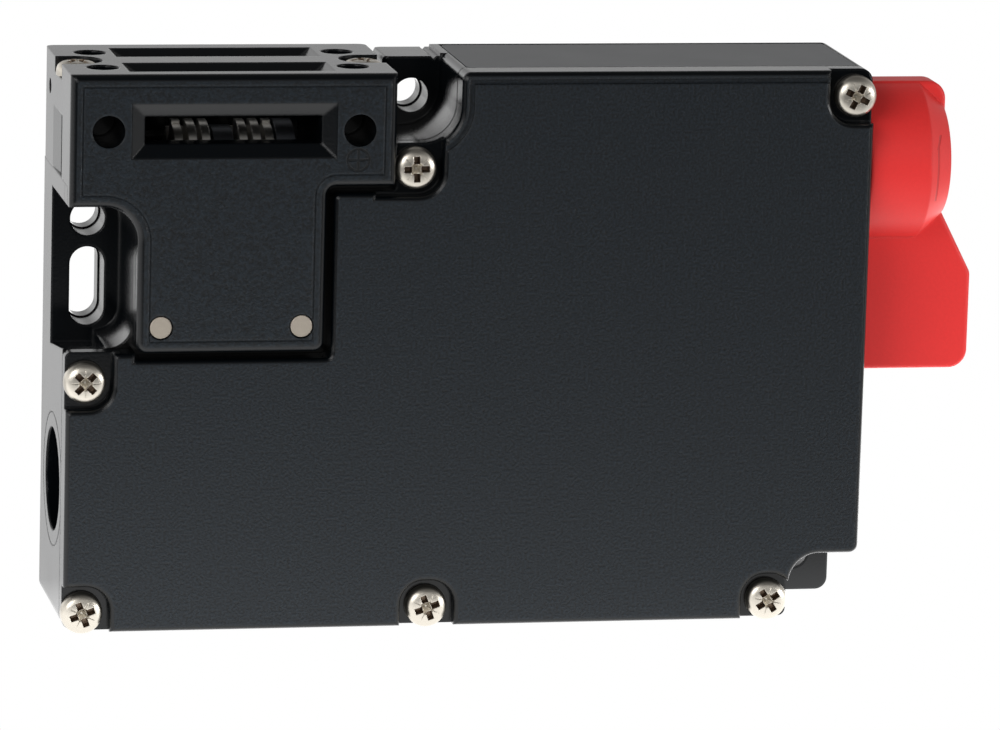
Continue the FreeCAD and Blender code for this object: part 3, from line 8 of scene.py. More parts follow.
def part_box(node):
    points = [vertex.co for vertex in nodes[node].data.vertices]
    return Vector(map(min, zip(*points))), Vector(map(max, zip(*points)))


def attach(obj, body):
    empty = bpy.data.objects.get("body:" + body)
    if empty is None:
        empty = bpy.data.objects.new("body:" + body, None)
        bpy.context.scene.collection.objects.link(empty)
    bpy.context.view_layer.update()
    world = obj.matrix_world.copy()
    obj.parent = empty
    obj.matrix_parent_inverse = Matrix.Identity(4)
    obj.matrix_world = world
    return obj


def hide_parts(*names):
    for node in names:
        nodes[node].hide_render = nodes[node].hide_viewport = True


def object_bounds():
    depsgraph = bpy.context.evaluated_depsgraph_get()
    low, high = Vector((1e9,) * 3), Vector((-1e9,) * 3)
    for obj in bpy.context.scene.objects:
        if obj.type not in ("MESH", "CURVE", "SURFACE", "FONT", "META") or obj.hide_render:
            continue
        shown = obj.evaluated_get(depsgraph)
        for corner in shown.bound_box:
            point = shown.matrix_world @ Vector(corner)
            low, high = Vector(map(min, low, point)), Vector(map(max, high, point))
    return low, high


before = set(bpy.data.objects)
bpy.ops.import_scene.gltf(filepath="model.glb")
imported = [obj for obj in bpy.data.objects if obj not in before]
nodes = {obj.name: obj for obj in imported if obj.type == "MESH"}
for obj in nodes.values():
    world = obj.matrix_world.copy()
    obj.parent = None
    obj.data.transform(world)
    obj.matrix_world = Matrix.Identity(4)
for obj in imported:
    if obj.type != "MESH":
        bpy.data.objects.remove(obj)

cad_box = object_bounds()
mm = 0.001

# Camera: a long lens from the front left and above, in degrees, metres and pixels of a picture 1000 wide
camera_azimuth = -11.6
camera_elevation = 11.5
camera_roll = 1.57
camera_distance = 1.086
camera_target = Vector((7.8, -15.0, -5.4)) * mm
camera_focal_px = 6698.0
picture_width = 1000.0
sensor_width = 36.0
camera_near = 0.05
camera_far = 20.0

# Floor glow, 1 being white, and the stretches in metres over which it changes
floor_size = 6.0
floor_gap = 0.0002
floor_glow = 1.65
back_glow = 0.94
lever_glow = 3.4
right_glow = 0.6
front_stretch = (-0.30, -0.02)
front_shares = (0.05, 1.10)
width_stretch = (-0.08, 0.14)
width_shares = (1.15, 0.70)
behind_stretch = (-0.04, 0.01)
lever_stretch = (-0.03, 0.07)
right_stretch = (0.13, 0.26)

# Room glow by direction, from -1 to 1 on each axis
horizon_glow = 0.68
left_glow = 1.4
ceiling_glow = 0.12
left_stretch = (-0.30, 0.02)
ceiling_stretch = (0.15, 0.85)
ahead_stretch = (-0.95, -0.2)
ahead_shares = (0.15, 1.0)

# Softboxes: place, point aimed at and size in metres, power in watts
softboxes = {
    "front": {"place": (0.1, -1.5, 0.56), "aim": (0, 0, 0), "size": (1.3, 0.62), "power": 1.6},
    "left": {"place": (-1.05, -1.15, 0.70), "aim": (0, 0, 0), "size": (1.0, 0.8), "power": 11.0},
    "right": {"place": (1.35, -0.75, 0.13), "aim": (0.07, 0, 0), "size": (0.9, 0.34), "power": 8.0},
}

# Grain, in metres, and the shares that steer it
grain_height = 0.00012
grain_detail = 2.0
grain_roughness = 0.55
mottle_scale = 90.0
mottle_detail = 4.0
mottle_roughness = 0.5
mottle_gloss = 0.06
speckle_band = (0.3, 0.7)
square_on_band = (0.93, 0.99)
back_face_reach = -0.5 * mm
all_over_reach = 0.5
line_height = 0.0001

# Cross-recess screws, in mm; the dome is given as shares of the head's radius and height
screw_head_height = 2.4
screw_shank_radius = 1.45
dome_outline = [(1.0, 0.28), (0.985, 0.46), (0.94, 0.64), (0.86, 0.78), (0.75, 0.88), (0.60, 0.95),
                (0.38, 0.99)]
rim_chamfer = 0.15
wing_width = 1.15
wing_inner = 0.62
wing_outer = 2.15
wing_taper = 0.70
recess_depth = 1.9
centre_radius = 1.2
centre_taper = 0.15
centre_depth = 1.5
centre_sides = 8
tick_width = 0.09
tick_span = 4.9
tick_depth = 0.20
cutter_past = 1.0
thread_pitch = 0.7
thread_depth = 0.22
plain_shank = 3.0
shank_tip_share = 0.6
lathe_steps = 48
sharp_angle = 28
same_point = 0.001
cover_screw_turns = (20, 45, 2, 20, 33, 63)
head_screw_turns = (38, 12)

# Rating plate, in mm
plate_inset = 0.35
plate_gap = 0.02
plate_thickness = 0.22
plate_corner = 0.9
plate_corner_steps = 6
label_left = -1.0
label_right = 63.4
label_front = -24.6
label_back = -0.8
label_floor = 44.7

# Mould marks, in mm
mark_centre = (-19.2, 31.3)
mark_radius = 1.75
mark_line = 0.30
mark_depth = 0.16
mark_shade = 0.35
mark_reach = 0.3
lever_line_x = 76.8
lever_line_low = 22.9
lever_line_high = 31.9
lever_line_width = 0.30
lever_line_depth = 0.1
lever_line_shade = 0.72
lever_line_reach = -20.0
lever_tick_overlap = 0.4
lever_tick_high = 33.6
lever_tick_slant = 0.35
lever_tick_width = 0.34
seam_y = -25.0
seam_width = 0.42
seam_depth = 0.3
seam_shade = 0.1
line_fade = 1.6


def feed(tree, socket, value):
    """Give a socket a fixed value, or link another socket to it."""
    if isinstance(value, bpy.types.NodeSocket):
        tree.links.new(value, socket)
    else:
        socket.default_value = value


def group_sockets(tree, inputs, outputs):
    """Named sockets of a node group. An input is given by its default or its kind, an output by its kind."""
    for name, value in inputs.items():
        kind = {float: "Float", tuple: "Color"}.get(type(value), value)
        socket = tree.interface.new_socket(name, in_out="INPUT", socket_type="NodeSocket" + kind)
        if kind != value:
            socket.default_value = value
    for name, kind in outputs.items():
        tree.interface.new_socket(name, in_out="OUTPUT", socket_type="NodeSocket" + kind)


def math_node(tree, operation, *values):
    """Socket with the result of a sum on sockets or numbers."""
    node = tree.nodes.new("ShaderNodeMath")
    node.operation = operation
    for socket, value in zip(node.inputs, values):
        feed(tree, socket, value)
    return node.outputs["Value"]


def ranged(tree, value, stretch, ends):
    """Socket with a value mapped from a stretch to a pair of ends, and held beyond them."""
    node = tree.nodes.new("ShaderNodeMapRange")
    feed(tree, node.inputs["Value"], value)
    for name, bound in zip(("From Min", "From Max", "To Min", "To Max"), (*stretch, *ends)):
        feed(tree, node.inputs[name], bound)
    return node.outputs["Result"]


def scaled_color(tree, color, factor):
    """Socket with a colour made brighter or darker by a factor."""
    tone = tree.nodes.new("ShaderNodeVectorMath")
    tone.operation = "SCALE"
    feed(tree, tone.inputs["Vector"], color)
    feed(tree, tone.inputs["Scale"], factor)
    return tone.outputs["Vector"]


def axes_of(tree, vector):
    """X, Y and Z sockets of a vector socket."""
    split = tree.nodes.new("ShaderNodeSeparateXYZ")
    tree.links.new(vector, split.inputs["Vector"])
    return split.outputs


def object_axes(tree):
    """X, Y and Z sockets of the piece's own coordinates."""
    place = tree.nodes.new("ShaderNodeTexCoord")
    return axes_of(tree, place.outputs["Object"])


def noise(tree, place, scale, detail, roughness):
    """Noise on a piece's own coordinates."""
    node = tree.nodes.new("ShaderNodeTexNoise")
    tree.links.new(place, node.inputs["Vector"])
    feed(tree, node.inputs["Scale"], scale)
    feed(tree, node.inputs["Detail"], detail)
    feed(tree, node.inputs["Roughness"], roughness)
    return node.outputs["Fac"]


def bump_on(tree, height, strength, distance, normal=None):
    """Normal bent by a height."""
    bump = tree.nodes.new("ShaderNodeBump")
    feed(tree, bump.inputs["Height"], height)
    feed(tree, bump.inputs["Strength"], strength)
    feed(tree, bump.inputs["Distance"], distance)
    if normal is not None:
        tree.links.new(normal, bump.inputs["Normal"])
    return bump.outputs["Normal"]


def near_line(tree, distance, width):
    """Mask that is one on a line of a width and zero away from it."""
    half = 0.5 * width
    return ranged(tree, math_node(tree, "ABSOLUTE", distance), (half, line_fade * half), (1.0, 0.0))


def between(tree, value, low, high):
    """Mask that is one between two values."""
    over = math_node(tree, "GREATER_THAN", value, low)
    under = math_node(tree, "LESS_THAN", value, high)
    return math_node(tree, "MULTIPLY", over, under)


def grained_share(tree, place, reach):
    """One where a surface has its grain: on the back face, and on front faces ahead of the reach.

    A reach far behind the part gives grain all over."""
    facing = tree.nodes.new("ShaderNodeVectorMath")
    facing.operation = "DOT_PRODUCT"
    tree.links.new(place.outputs["Normal"], facing.inputs[0])
    facing.inputs[1].default_value = (0, -1, 0)
    to_front = math_node(tree, "ABSOLUTE", facing.outputs["Value"])
    square_on = ranged(tree, to_front, square_on_band, (0.0, 1.0))
    y = axes_of(tree, place.outputs["Object"])["Y"]
    outermost = math_node(tree, "MAXIMUM", math_node(tree, "LESS_THAN", y, reach),
                          math_node(tree, "GREATER_THAN", y, back_face_reach))
    all_over = math_node(tree, "GREATER_THAN", reach, all_over_reach)
    return math_node(tree, "MAXIMUM", math_node(tree, "MULTIPLY", square_on, outermost), all_over)


def grain_group():
    """Moulded or blasted surface: fine grain in bump and tone, slow mottle in tone and gloss, soft edges.

    Faces without grain take the three Smooth values instead; their darker Smooth colour is painted shade,
    meant for the recess and pocket floors, and it darkens the sides as well."""
    found = bpy.data.node_groups.get("moulded_grain")
    if found:
        return found
    tree = bpy.data.node_groups.new("moulded_grain", "ShaderNodeTree")
    group_sockets(tree, {"Color": (0.5, 0.5, 0.5, 1.0), "Scale": 2600.0, "Strength": 0.2, "Speckle": 0.0,
                         "Mottle": 0.05, "Roughness": 0.5, "Front Reach": 1.0, "Smooth Strength": 0.2,
                         "Smooth Tone": 1.0, "Smooth Roughness": 0.5, "Edge Radius": 0.0002},
                  {"Color": "Color", "Roughness": "Float", "Normal": "Vector"})
    given = tree.nodes.new("NodeGroupInput").outputs
    result = tree.nodes.new("NodeGroupOutput").inputs
    place = tree.nodes.new("ShaderNodeTexCoord")
    fine = noise(tree, place.outputs["Object"], given["Scale"], grain_detail, grain_roughness)
    slow = noise(tree, place.outputs["Object"], mottle_scale, mottle_detail, mottle_roughness)
    share = grained_share(tree, place, given["Front Reach"])
    speckle = math_node(tree, "MULTIPLY", ranged(tree, fine, speckle_band, (-1.0, 1.0)), given["Speckle"])
    bright = math_node(tree, "ADD", math_node(tree, "MULTIPLY", speckle, share), 1.0)
    dim = math_node(tree, "SUBTRACT", 1.0, math_node(tree, "MULTIPLY", slow, given["Mottle"]))
    # Tone is speckle and mottle, times a darker factor on faces without grain that is painted shade for the
    # recesses
    tone = math_node(tree, "MULTIPLY", math_node(tree, "MULTIPLY", bright, dim),
                     ranged(tree, share, (0.0, 1.0), (given["Smooth Tone"], 1.0)))
    gloss = math_node(tree, "ADD", math_node(tree, "MULTIPLY", slow, mottle_gloss),
                      ranged(tree, share, (0.0, 1.0), (given["Smooth Roughness"], given["Roughness"])))
    soft_edge = tree.nodes.new("ShaderNodeBevel")
    feed(tree, soft_edge.inputs["Radius"], given["Edge Radius"])
    strength = ranged(tree, share, (0.0, 1.0), (given["Smooth Strength"], given["Strength"]))
    normal = bump_on(tree, fine, strength, grain_height, soft_edge.outputs["Normal"])
    tree.links.new(scaled_color(tree, given["Color"], tone), result["Color"])
    tree.links.new(gloss, result["Roughness"])
    tree.links.new(normal, result["Normal"])
    return tree


def lines_group():
    """Even lines across X, as on wound wire and turned steel: height and a tone between them."""
    found = bpy.data.node_groups.get("even_lines")
    if found:
        return found
    tree = bpy.data.node_groups.new("even_lines", "ShaderNodeTree")
    group_sockets(tree, {"Color": (0.5, 0.5, 0.5, 1.0), "Pitch": 0.0005, "Strength": 0.3, "Shade": 0.2},
                  {"Color": "Color", "Normal": "Vector"})
    given = tree.nodes.new("NodeGroupInput").outputs
    result = tree.nodes.new("NodeGroupOutput").inputs
    turns = math_node(tree, "DIVIDE", object_axes(tree)["X"], given["Pitch"])
    wave = math_node(tree, "SINE", math_node(tree, "MULTIPLY", turns, 2 * math.pi))
    crest = ranged(tree, wave, (-1.0, 1.0), (0.0, 1.0))
    valley = math_node(tree, "MULTIPLY", math_node(tree, "SUBTRACT", 1.0, crest), given["Shade"])
    tone = math_node(tree, "SUBTRACT", 1.0, valley)
    tree.links.new(scaled_color(tree, given["Color"], tone), result["Color"])
    tree.links.new(bump_on(tree, crest, given["Strength"], line_height), result["Normal"])
    return tree


def plain_shader(name, color, roughness, metallic, specular):
    """New material with its Principled shader set."""
    made = bpy.data.materials.new(name)
    made.use_nodes = True
    shader = made.node_tree.nodes["Principled BSDF"]
    shader.inputs["Base Color"].default_value = (*color, 1.0)
    shader.inputs["Roughness"].default_value = roughness
    shader.inputs["Metallic"].default_value = metallic
    shader.inputs["Specular IOR Level"].default_value = specular
    return made, shader


def surface_from(made, shader, group, name, values):
    """Place a surface group in a material, set its inputs and join what it gives to the shader."""
    tree = made.node_tree
    surface = tree.nodes.new("ShaderNodeGroup")
    surface.name = name
    surface.node_tree = group
    for socket, value in values.items():
        surface.inputs[socket].default_value = value
    for output in surface.outputs:
        target = "Base Color" if output.name == "Color" else output.name
        tree.links.new(output, shader.inputs[target])


def grained(name, color, roughness, metallic=0.0, specular=0.5, **grain):
    """Material with moulded or blasted grain and soft edges; grain is in the words of the group's inputs."""
    made, shader = plain_shader(name, color, roughness, metallic, specular)
    values = {word.replace("_", " ").title(): value for word, value in grain.items()}
    values.update({"Color": (*color, 1.0), "Roughness": roughness})
    surface_from(made, shader, grain_group(), "grain", values)
    return made


def lined(name, color, roughness, pitch, strength, shade):
    """Metal with even lines across X."""
    made, shader = plain_shader(name, color, roughness, 1.0, 0.5)
    values = {"Color": (*color, 1.0), "Pitch": pitch, "Strength": strength, "Shade": shade}
    surface_from(made, shader, lines_group(), "lines", values)
    return made


def scribe(made, mask, depth, shade):
    """Cut a shallow line into a grained material wherever the mask is one."""
    tree = made.node_tree
    shader = tree.nodes["Principled BSDF"]
    surface = tree.nodes["grain"]
    sunk = math_node(tree, "SUBTRACT", 1.0, mask)
    tree.links.new(bump_on(tree, sunk, 1.0, depth * mm, surface.outputs["Normal"]), shader.inputs["Normal"])
    tone = ranged(tree, mask, (0.0, 1.0), (1.0, shade))
    tree.links.new(scaled_color(tree, surface.outputs["Color"], tone), shader.inputs["Base Color"])


def circled_cross(made):
    """Moulder's mark on the front of the head: a ring with a cross in it."""
    tree = made.node_tree
    axes = object_axes(tree)
    across = math_node(tree, "SUBTRACT", axes["X"], mark_centre[0] * mm)
    up = math_node(tree, "SUBTRACT", axes["Z"], mark_centre[1] * mm)
    squares = math_node(tree, "ADD", math_node(tree, "MULTIPLY", across, across),
                        math_node(tree, "MULTIPLY", up, up))
    reach = math_node(tree, "SQRT", squares)
    width = mark_line * mm
    ring = near_line(tree, math_node(tree, "SUBTRACT", reach, mark_radius * mm), width)
    bars = math_node(tree, "MAXIMUM", near_line(tree, across, width), near_line(tree, up, width))
    inside = math_node(tree, "LESS_THAN", reach, mark_radius * mm)
    mark = math_node(tree, "MAXIMUM", ring, math_node(tree, "MULTIPLY", bars, inside))
    on_front = math_node(tree, "LESS_THAN", axes["Y"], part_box("head_housing")[0][1] + mark_reach * mm)
    scribe(made, math_node(tree, "MULTIPLY", mark, on_front), mark_depth, mark_shade)


def parting_line(made):
    """Fine line on the front of the lever's cone, with a short slanted end."""
    tree = made.node_tree
    axes = object_axes(tree)
    from_line = math_node(tree, "SUBTRACT", axes["X"], lever_line_x * mm)
    above = math_node(tree, "SUBTRACT", axes["Z"], lever_line_high * mm)
    from_tick = math_node(tree, "SUBTRACT", from_line, math_node(tree, "MULTIPLY", above, lever_tick_slant))
    tick_low = (lever_line_high - lever_tick_overlap) * mm
    straight = math_node(tree, "MULTIPLY", near_line(tree, from_line, lever_line_width * mm),
                         between(tree, axes["Z"], lever_line_low * mm, lever_line_high * mm))
    slanted = math_node(tree, "MULTIPLY", near_line(tree, from_tick, lever_tick_width * mm),
                        between(tree, axes["Z"], tick_low, lever_tick_high * mm))
    on_front = math_node(tree, "LESS_THAN", axes["Y"], lever_line_reach * mm)
    line = math_node(tree, "MAXIMUM", straight, slanted)
    scribe(made, math_node(tree, "MULTIPLY", line, on_front), lever_line_depth, lever_line_shade)


def cover_seam(made):
    """Fine dark line round the case where the cover meets the housing."""
    tree = made.node_tree
    from_seam = math_node(tree, "SUBTRACT", object_axes(tree)["Y"], seam_y * mm)
    scribe(made, near_line(tree, from_seam, seam_width * mm), seam_depth, seam_shade)


def black_plastic(name):
    """Black glass-filled plastic: matt moulded grain on front and back, smoother sides and recesses, whose
    colour is darkened there as painted shade.
    """
    # The darker colour given below to the smooth faces is painted shade for the recess and pocket floors
    return grained(name, (0.0050, 0.0084, 0.0120), 0.40, specular=0.31, strength=1.0, scale=2400.0,
                   speckle=0.75, mottle=0.15, edge_radius=0.0006, front_reach=-0.029, smooth_strength=0.10,
                   smooth_tone=0.25, smooth_roughness=0.13)


case_black = black_plastic("black plastic")
cover_seam(case_black)
head_black = black_plastic("black plastic with mark")
circled_cross(head_black)
lever_red = grained("red plastic", (0.82, 0.033, 0.031), 0.44, specular=0.32, strength=0.16, scale=1900.0,
                    speckle=0.02, edge_radius=0.0007)
parting_line(lever_red)
plug_plastic = grained("plug plastic", (0.018, 0.020, 0.022), 0.40)
seal_rubber = grained("seal rubber", (0.015, 0.015, 0.015), 0.70)
plate_grey = grained("bare plate", (0.090, 0.093, 0.098), 0.42, specular=0.4, strength=0.12, scale=3200.0)
natural_plastic = grained("natural plastic", (0.72, 0.70, 0.64), 0.45, strength=0.10)
case_plastic = grained("case plastic", (0.06, 0.06, 0.065), 0.50, strength=0.15)
terminal_plastic = grained("terminal plastic", (0.25, 0.27, 0.27), 0.48, strength=0.15)
screw_steel = grained("stainless screw", (0.60, 0.56, 0.49), 0.30, 1.0, strength=0.08, scale=1300.0,
                      mottle=0.15)
# Painted shade: the walls of the cross recess take this darker, browner steel in place of the shade that
# falls in the recess
recess_shade_steel = grained("recess painted shade", (0.26, 0.20, 0.15), 0.40, 1.0, scale=1300.0)
pin_steel = grained("pin steel", (0.51, 0.455, 0.385), 0.42, 1.0, scale=1500.0)
cam_steel = grained("cam steel", (0.94, 0.91, 0.85), 0.26, 1.0, strength=0.15, scale=1500.0)
dark_steel = grained("dark steel", (0.16, 0.17, 0.19), 0.36, 1.0, strength=0.08, scale=1500.0)
zinc_steel = grained("zinc steel", (0.52, 0.53, 0.54), 0.36, 1.0, strength=0.10, scale=800.0)
contact_brass = grained("contact brass", (0.78, 0.60, 0.28), 0.32, 1.0, strength=0.06, mottle=0.10)
ground_steel = lined("ground steel", (0.58, 0.58, 0.58), 0.28, pitch=0.00012, strength=0.15, shade=0.08)
copper_wire = lined("copper wire", (0.62, 0.25, 0.10), 0.34, pitch=0.0006, strength=0.8, shade=0.5)

finishes = {
    "housing": case_black, "cover": case_black, "head_housing": head_black,
    "cover_gasket": seal_rubber, "plug_seals": seal_rubber, "sleeve_seal": seal_rubber,
    "cover_screws": screw_steel, "head_screws": screw_steel,
    "head_pins": pin_steel, "cross_pin": pin_steel,
    "cam_discs": cam_steel, "lift_cam": dark_steel, "cam_spacers": dark_steel, "cam_rivets": dark_steel,
    "cam_axle": ground_steel, "pull_rod": ground_steel, "release_sleeve": ground_steel,
    "lock_disc": dark_steel, "lock_plate": dark_steel, "lock_finger": dark_steel,
    "plunger_spring": zinc_steel, "lock_spring": zinc_steel, "sleeve_clip": zinc_steel,
    "plunger": natural_plastic, "lock_contact_slide": natural_plastic,
    "position_contact_case": case_plastic, "lock_contact_case": case_plastic, "coil_bobbin": case_plastic,
    "position_contacts": contact_brass, "position_contact_bridge": contact_brass,
    "lock_contacts": contact_brass,
    "armature": zinc_steel, "solenoid_core": zinc_steel, "solenoid_frame": zinc_steel,
    "coil_winding": copper_wire,
    "release_lever": lever_red,
    "terminal_block": terminal_plastic, "terminal_screws": screw_steel, "terminal_clamps": zinc_steel,
    "blanking_plugs": plug_plastic,
}
for name, node in nodes.items():
    node.material_slots[0].material = finishes[name]


def add_object(name, mesh):
    """New object at the origin, in the scene."""
    made = bpy.data.objects.new(name, mesh)
    bpy.context.scene.collection.objects.link(made)
    return made


def separate_solids(node):
    """Lowest and highest corners of each solid of a node, from left to right and upwards."""
    shape = bmesh.new()
    shape.from_mesh(nodes[node].data)
    bmesh.ops.remove_doubles(shape, verts=shape.verts[:], dist=same_point * mm)
    unseen = set(shape.verts)
    boxes = []
    while unseen:
        group = [unseen.pop()]
        for vertex in group:
            for edge in vertex.link_edges:
                other = edge.other_vert(vertex)
                if other in unseen:
                    unseen.remove(other)
                    group.append(other)
        low = Vector(min(vertex.co[axis] for vertex in group) for axis in range(3))
        high = Vector(max(vertex.co[axis] for vertex in group) for axis in range(3))
        boxes.append((low, high))
    shape.free()
    return sorted(boxes, key=lambda box: (round(box[0].x / mm), box[0].z))


def screw_outline(head_radius, length):
    """Half-section of a screw in (radius, height) points: tip, rings of thread, shank and domed head."""
    outline = [(0, -length), (shank_tip_share * screw_shank_radius, -length)]
    rings = int((length - plain_shank) / thread_pitch)
    for ring in range(rings):
        root = -length + (ring + 0.5) * thread_pitch
        outline.append((screw_shank_radius - thread_depth, root))
        outline.append((screw_shank_radius, root + 0.5 * thread_pitch))
    outline += [(screw_shank_radius, 0), (head_radius - rim_chamfer, 0), (head_radius, rim_chamfer)]
    outline += [(across * head_radius, up * screw_head_height) for across, up in dome_outline]
    outline.append((0, screw_head_height))
    return outline


def turned_blank(name, head_radius, length):
    """Screw blank about +Z, with its seat at zero and no recess yet."""
    shape = bmesh.new()
    line = [shape.verts.new((across * mm, 0, up * mm)) for across, up in screw_outline(head_radius, length)]
    for first, second in zip(line, line[1:]):
        shape.edges.new((first, second))
    bmesh.ops.spin(shape, geom=shape.verts[:] + shape.edges[:], cent=(0, 0, 0), axis=(0, 0, 1),
                   angle=2 * math.pi, steps=lathe_steps, use_merge=True)
    bmesh.ops.remove_doubles(shape, verts=shape.verts[:], dist=same_point * mm)
    bmesh.ops.recalc_face_normals(shape, faces=shape.faces[:])
    mesh = bpy.data.meshes.new(name)
    shape.to_mesh(mesh)
    shape.free()
    mesh.materials.append(screw_steel)
    return add_object(name, mesh)


screw_inputs = {
    "Head Height": screw_head_height * mm, "Wing Width": wing_width * mm, "Wing Inner": wing_inner * mm,
    "Wing Outer": wing_outer * mm, "Wing Taper": wing_taper, "Recess Depth": recess_depth * mm,
    "Centre Radius": centre_radius * mm, "Centre Depth": centre_depth * mm, "Tick Width": tick_width * mm,
    "Tick Span": tick_span * mm, "Tick Depth": tick_depth * mm,
}


def geometry_node(tree, kind, **inputs):
    """Geometry node with its sockets set from numbers, vectors or other sockets."""
    node = tree.nodes.new(kind)
    for name, value in inputs.items():
        feed(tree, node.inputs[name.replace("_", " ")], value)
    return node


def wing_cutters(tree, given):
    """Four tapered wings of the cross recess."""
    half_diagonal = math.sqrt(0.5)
    recess_floor = math_node(tree, "SUBTRACT", given["Head Height"], given["Recess Depth"])
    wedge = geometry_node(tree, "GeometryNodeMeshCone", Vertices=4, Radius_Top=half_diagonal,
                          Radius_Bottom=math_node(tree, "MULTIPLY", given["Wing Taper"], half_diagonal),
                          Depth=math_node(tree, "ADD", given["Recess Depth"], cutter_past * mm))
    squared = geometry_node(tree, "GeometryNodeTransform", Geometry=wedge.outputs["Mesh"],
                            Rotation=(0, 0, math.radians(45)))
    length = math_node(tree, "SUBTRACT", given["Wing Outer"], given["Wing Inner"])
    ends = math_node(tree, "ADD", given["Wing Outer"], given["Wing Inner"])
    middle = math_node(tree, "MULTIPLY", ends, 0.5)
    size = geometry_node(tree, "ShaderNodeCombineXYZ", X=length, Y=given["Wing Width"], Z=1.0)
    place = geometry_node(tree, "ShaderNodeCombineXYZ", X=middle, Z=recess_floor)
    wing = geometry_node(tree, "GeometryNodeTransform", Geometry=squared.outputs["Geometry"],
                         Translation=place.outputs["Vector"], Scale=size.outputs["Vector"])
    return [geometry_node(tree, "GeometryNodeTransform", Geometry=wing.outputs["Geometry"],
                          Rotation=(0, 0, math.radians(turn))) for turn in (0, 90, 180, 270)]


def centre_cutters(tree, given):
    """Pointed middle of the recess, and the two crossed tick marks between its wings."""
    size = geometry_node(tree, "ShaderNodeCombineXYZ", X=given["Tick Span"], Y=given["Tick Width"],
                         Z=math_node(tree, "MULTIPLY", given["Tick Depth"], 2.0))
    bar = geometry_node(tree, "GeometryNodeMeshCube", Size=size.outputs["Vector"])
    place = geometry_node(tree, "ShaderNodeCombineXYZ", Z=given["Head Height"])
    cutters = [geometry_node(tree, "GeometryNodeTransform", Geometry=bar.outputs["Mesh"],
                             Translation=place.outputs["Vector"],
                             Rotation=(0, 0, math.radians(turn))) for turn in (45, 135)]
    point = geometry_node(tree, "GeometryNodeMeshCone", Vertices=centre_sides,
                          Radius_Top=given["Centre Radius"],
                          Radius_Bottom=math_node(tree, "MULTIPLY", given["Centre Radius"], centre_taper),
                          Depth=given["Centre Depth"])
    floor = math_node(tree, "SUBTRACT", given["Head Height"], given["Centre Depth"])
    point_place = geometry_node(tree, "ShaderNodeCombineXYZ", Z=floor)
    cutters.append(geometry_node(tree, "GeometryNodeTransform", Geometry=point.outputs["Mesh"],
                                 Translation=point_place.outputs["Vector"]))
    return cutters


def recessed_screw(tree, given):
    """Blank with the recess pressed in, its walls in a darker steel whose colour is painted shade of the
    recess.
    """
    blank = geometry_node(tree, "GeometryNodeObjectInfo", Object=given["Blank"])
    cut = tree.nodes.new("GeometryNodeMeshBoolean")
    cut.operation = "DIFFERENCE"
    cut.solver = "EXACT"
    tree.links.new(blank.outputs["Geometry"], cut.inputs["Mesh 1"])
    # The wing walls take the darker steel, painted shade of the recess; the centre point and ticks keep the
    # plain steel
    for cutters, steel in ((wing_cutters, "Recess Shade Steel"), (centre_cutters, "Steel")):
        for cutter in cutters(tree, given):
            painted = geometry_node(tree, "GeometryNodeSetMaterial", Geometry=cutter.outputs["Geometry"],
                                    Material=given[steel])
            tree.links.new(painted.outputs["Geometry"], cut.inputs["Mesh 2"])
    return cut.outputs["Mesh"]


def screw_tree():
    """Press a cross recess into a blank and set the screw on every point, turned as the point says."""
    tree = bpy.data.node_groups.new("cross_recess_screws", "GeometryNodeTree")
    group_sockets(tree, {"Points": "Geometry", "Blank": "Object", **screw_inputs,
                         "Steel": "Material", "Recess Shade Steel": "Material"},
                  {"Screws": "Geometry"})
    given = tree.nodes.new("NodeGroupInput").outputs
    facing = tree.nodes.new("GeometryNodeInputNamedAttribute")
    facing.data_type = "FLOAT_VECTOR"
    facing.inputs["Name"].default_value = "facing"
    turned = geometry_node(tree, "FunctionNodeEulerToRotation", Euler=facing.outputs["Attribute"])
    placed = geometry_node(tree, "GeometryNodeInstanceOnPoints", Points=given["Points"],
                           Instance=recessed_screw(tree, given), Rotation=turned.outputs["Rotation"])
    real = geometry_node(tree, "GeometryNodeRealizeInstances", Geometry=placed.outputs["Instances"])
    in_recess = geometry_node(tree, "GeometryNodeMaterialSelection", Material=given["Recess Shade Steel"])
    outside = tree.nodes.new("FunctionNodeBooleanMath")
    outside.operation = "NOT"
    tree.links.new(in_recess.outputs["Selection"], outside.inputs[0])
    finished = geometry_node(tree, "GeometryNodeSetMaterial", Geometry=real.outputs["Geometry"],
                             Selection=outside.outputs["Boolean"], Material=given["Steel"])
    result = tree.nodes.new("NodeGroupOutput").inputs
    tree.links.new(finished.outputs["Geometry"], result["Screws"])
    return tree


def seat_points(name, boxes, out, along, turns):
    """Mesh with a point at each screw's seat, which carries the way that its screw is turned."""
    seats = []
    for low, high in boxes:
        seat = (low + high) / 2
        tip = high[along] if out[along] > 0 else low[along]
        seat[along] = tip - out[along] * screw_head_height * mm
        seats.append(seat)
    points = bpy.data.meshes.new(name)
    points.from_pydata(seats, [], [])
    facing = points.attributes.new("facing", "FLOAT_VECTOR", "POINT")
    right = Vector((1, 0, 0))
    upright = Matrix((right, out.cross(right), out)).transposed()
    for place, turn in enumerate(turns):
        spun = upright @ Matrix.Rotation(math.radians(turn), 3, "Z")
        facing.data[place].vector = spun.to_euler()
    return points


def plain_mesh(holder, name):
    """Mesh of an object with its modifiers applied."""
    seen = holder.evaluated_get(bpy.context.evaluated_depsgraph_get())
    mesh = bpy.data.meshes.new_from_object(seen)
    mesh.name = name
    return mesh


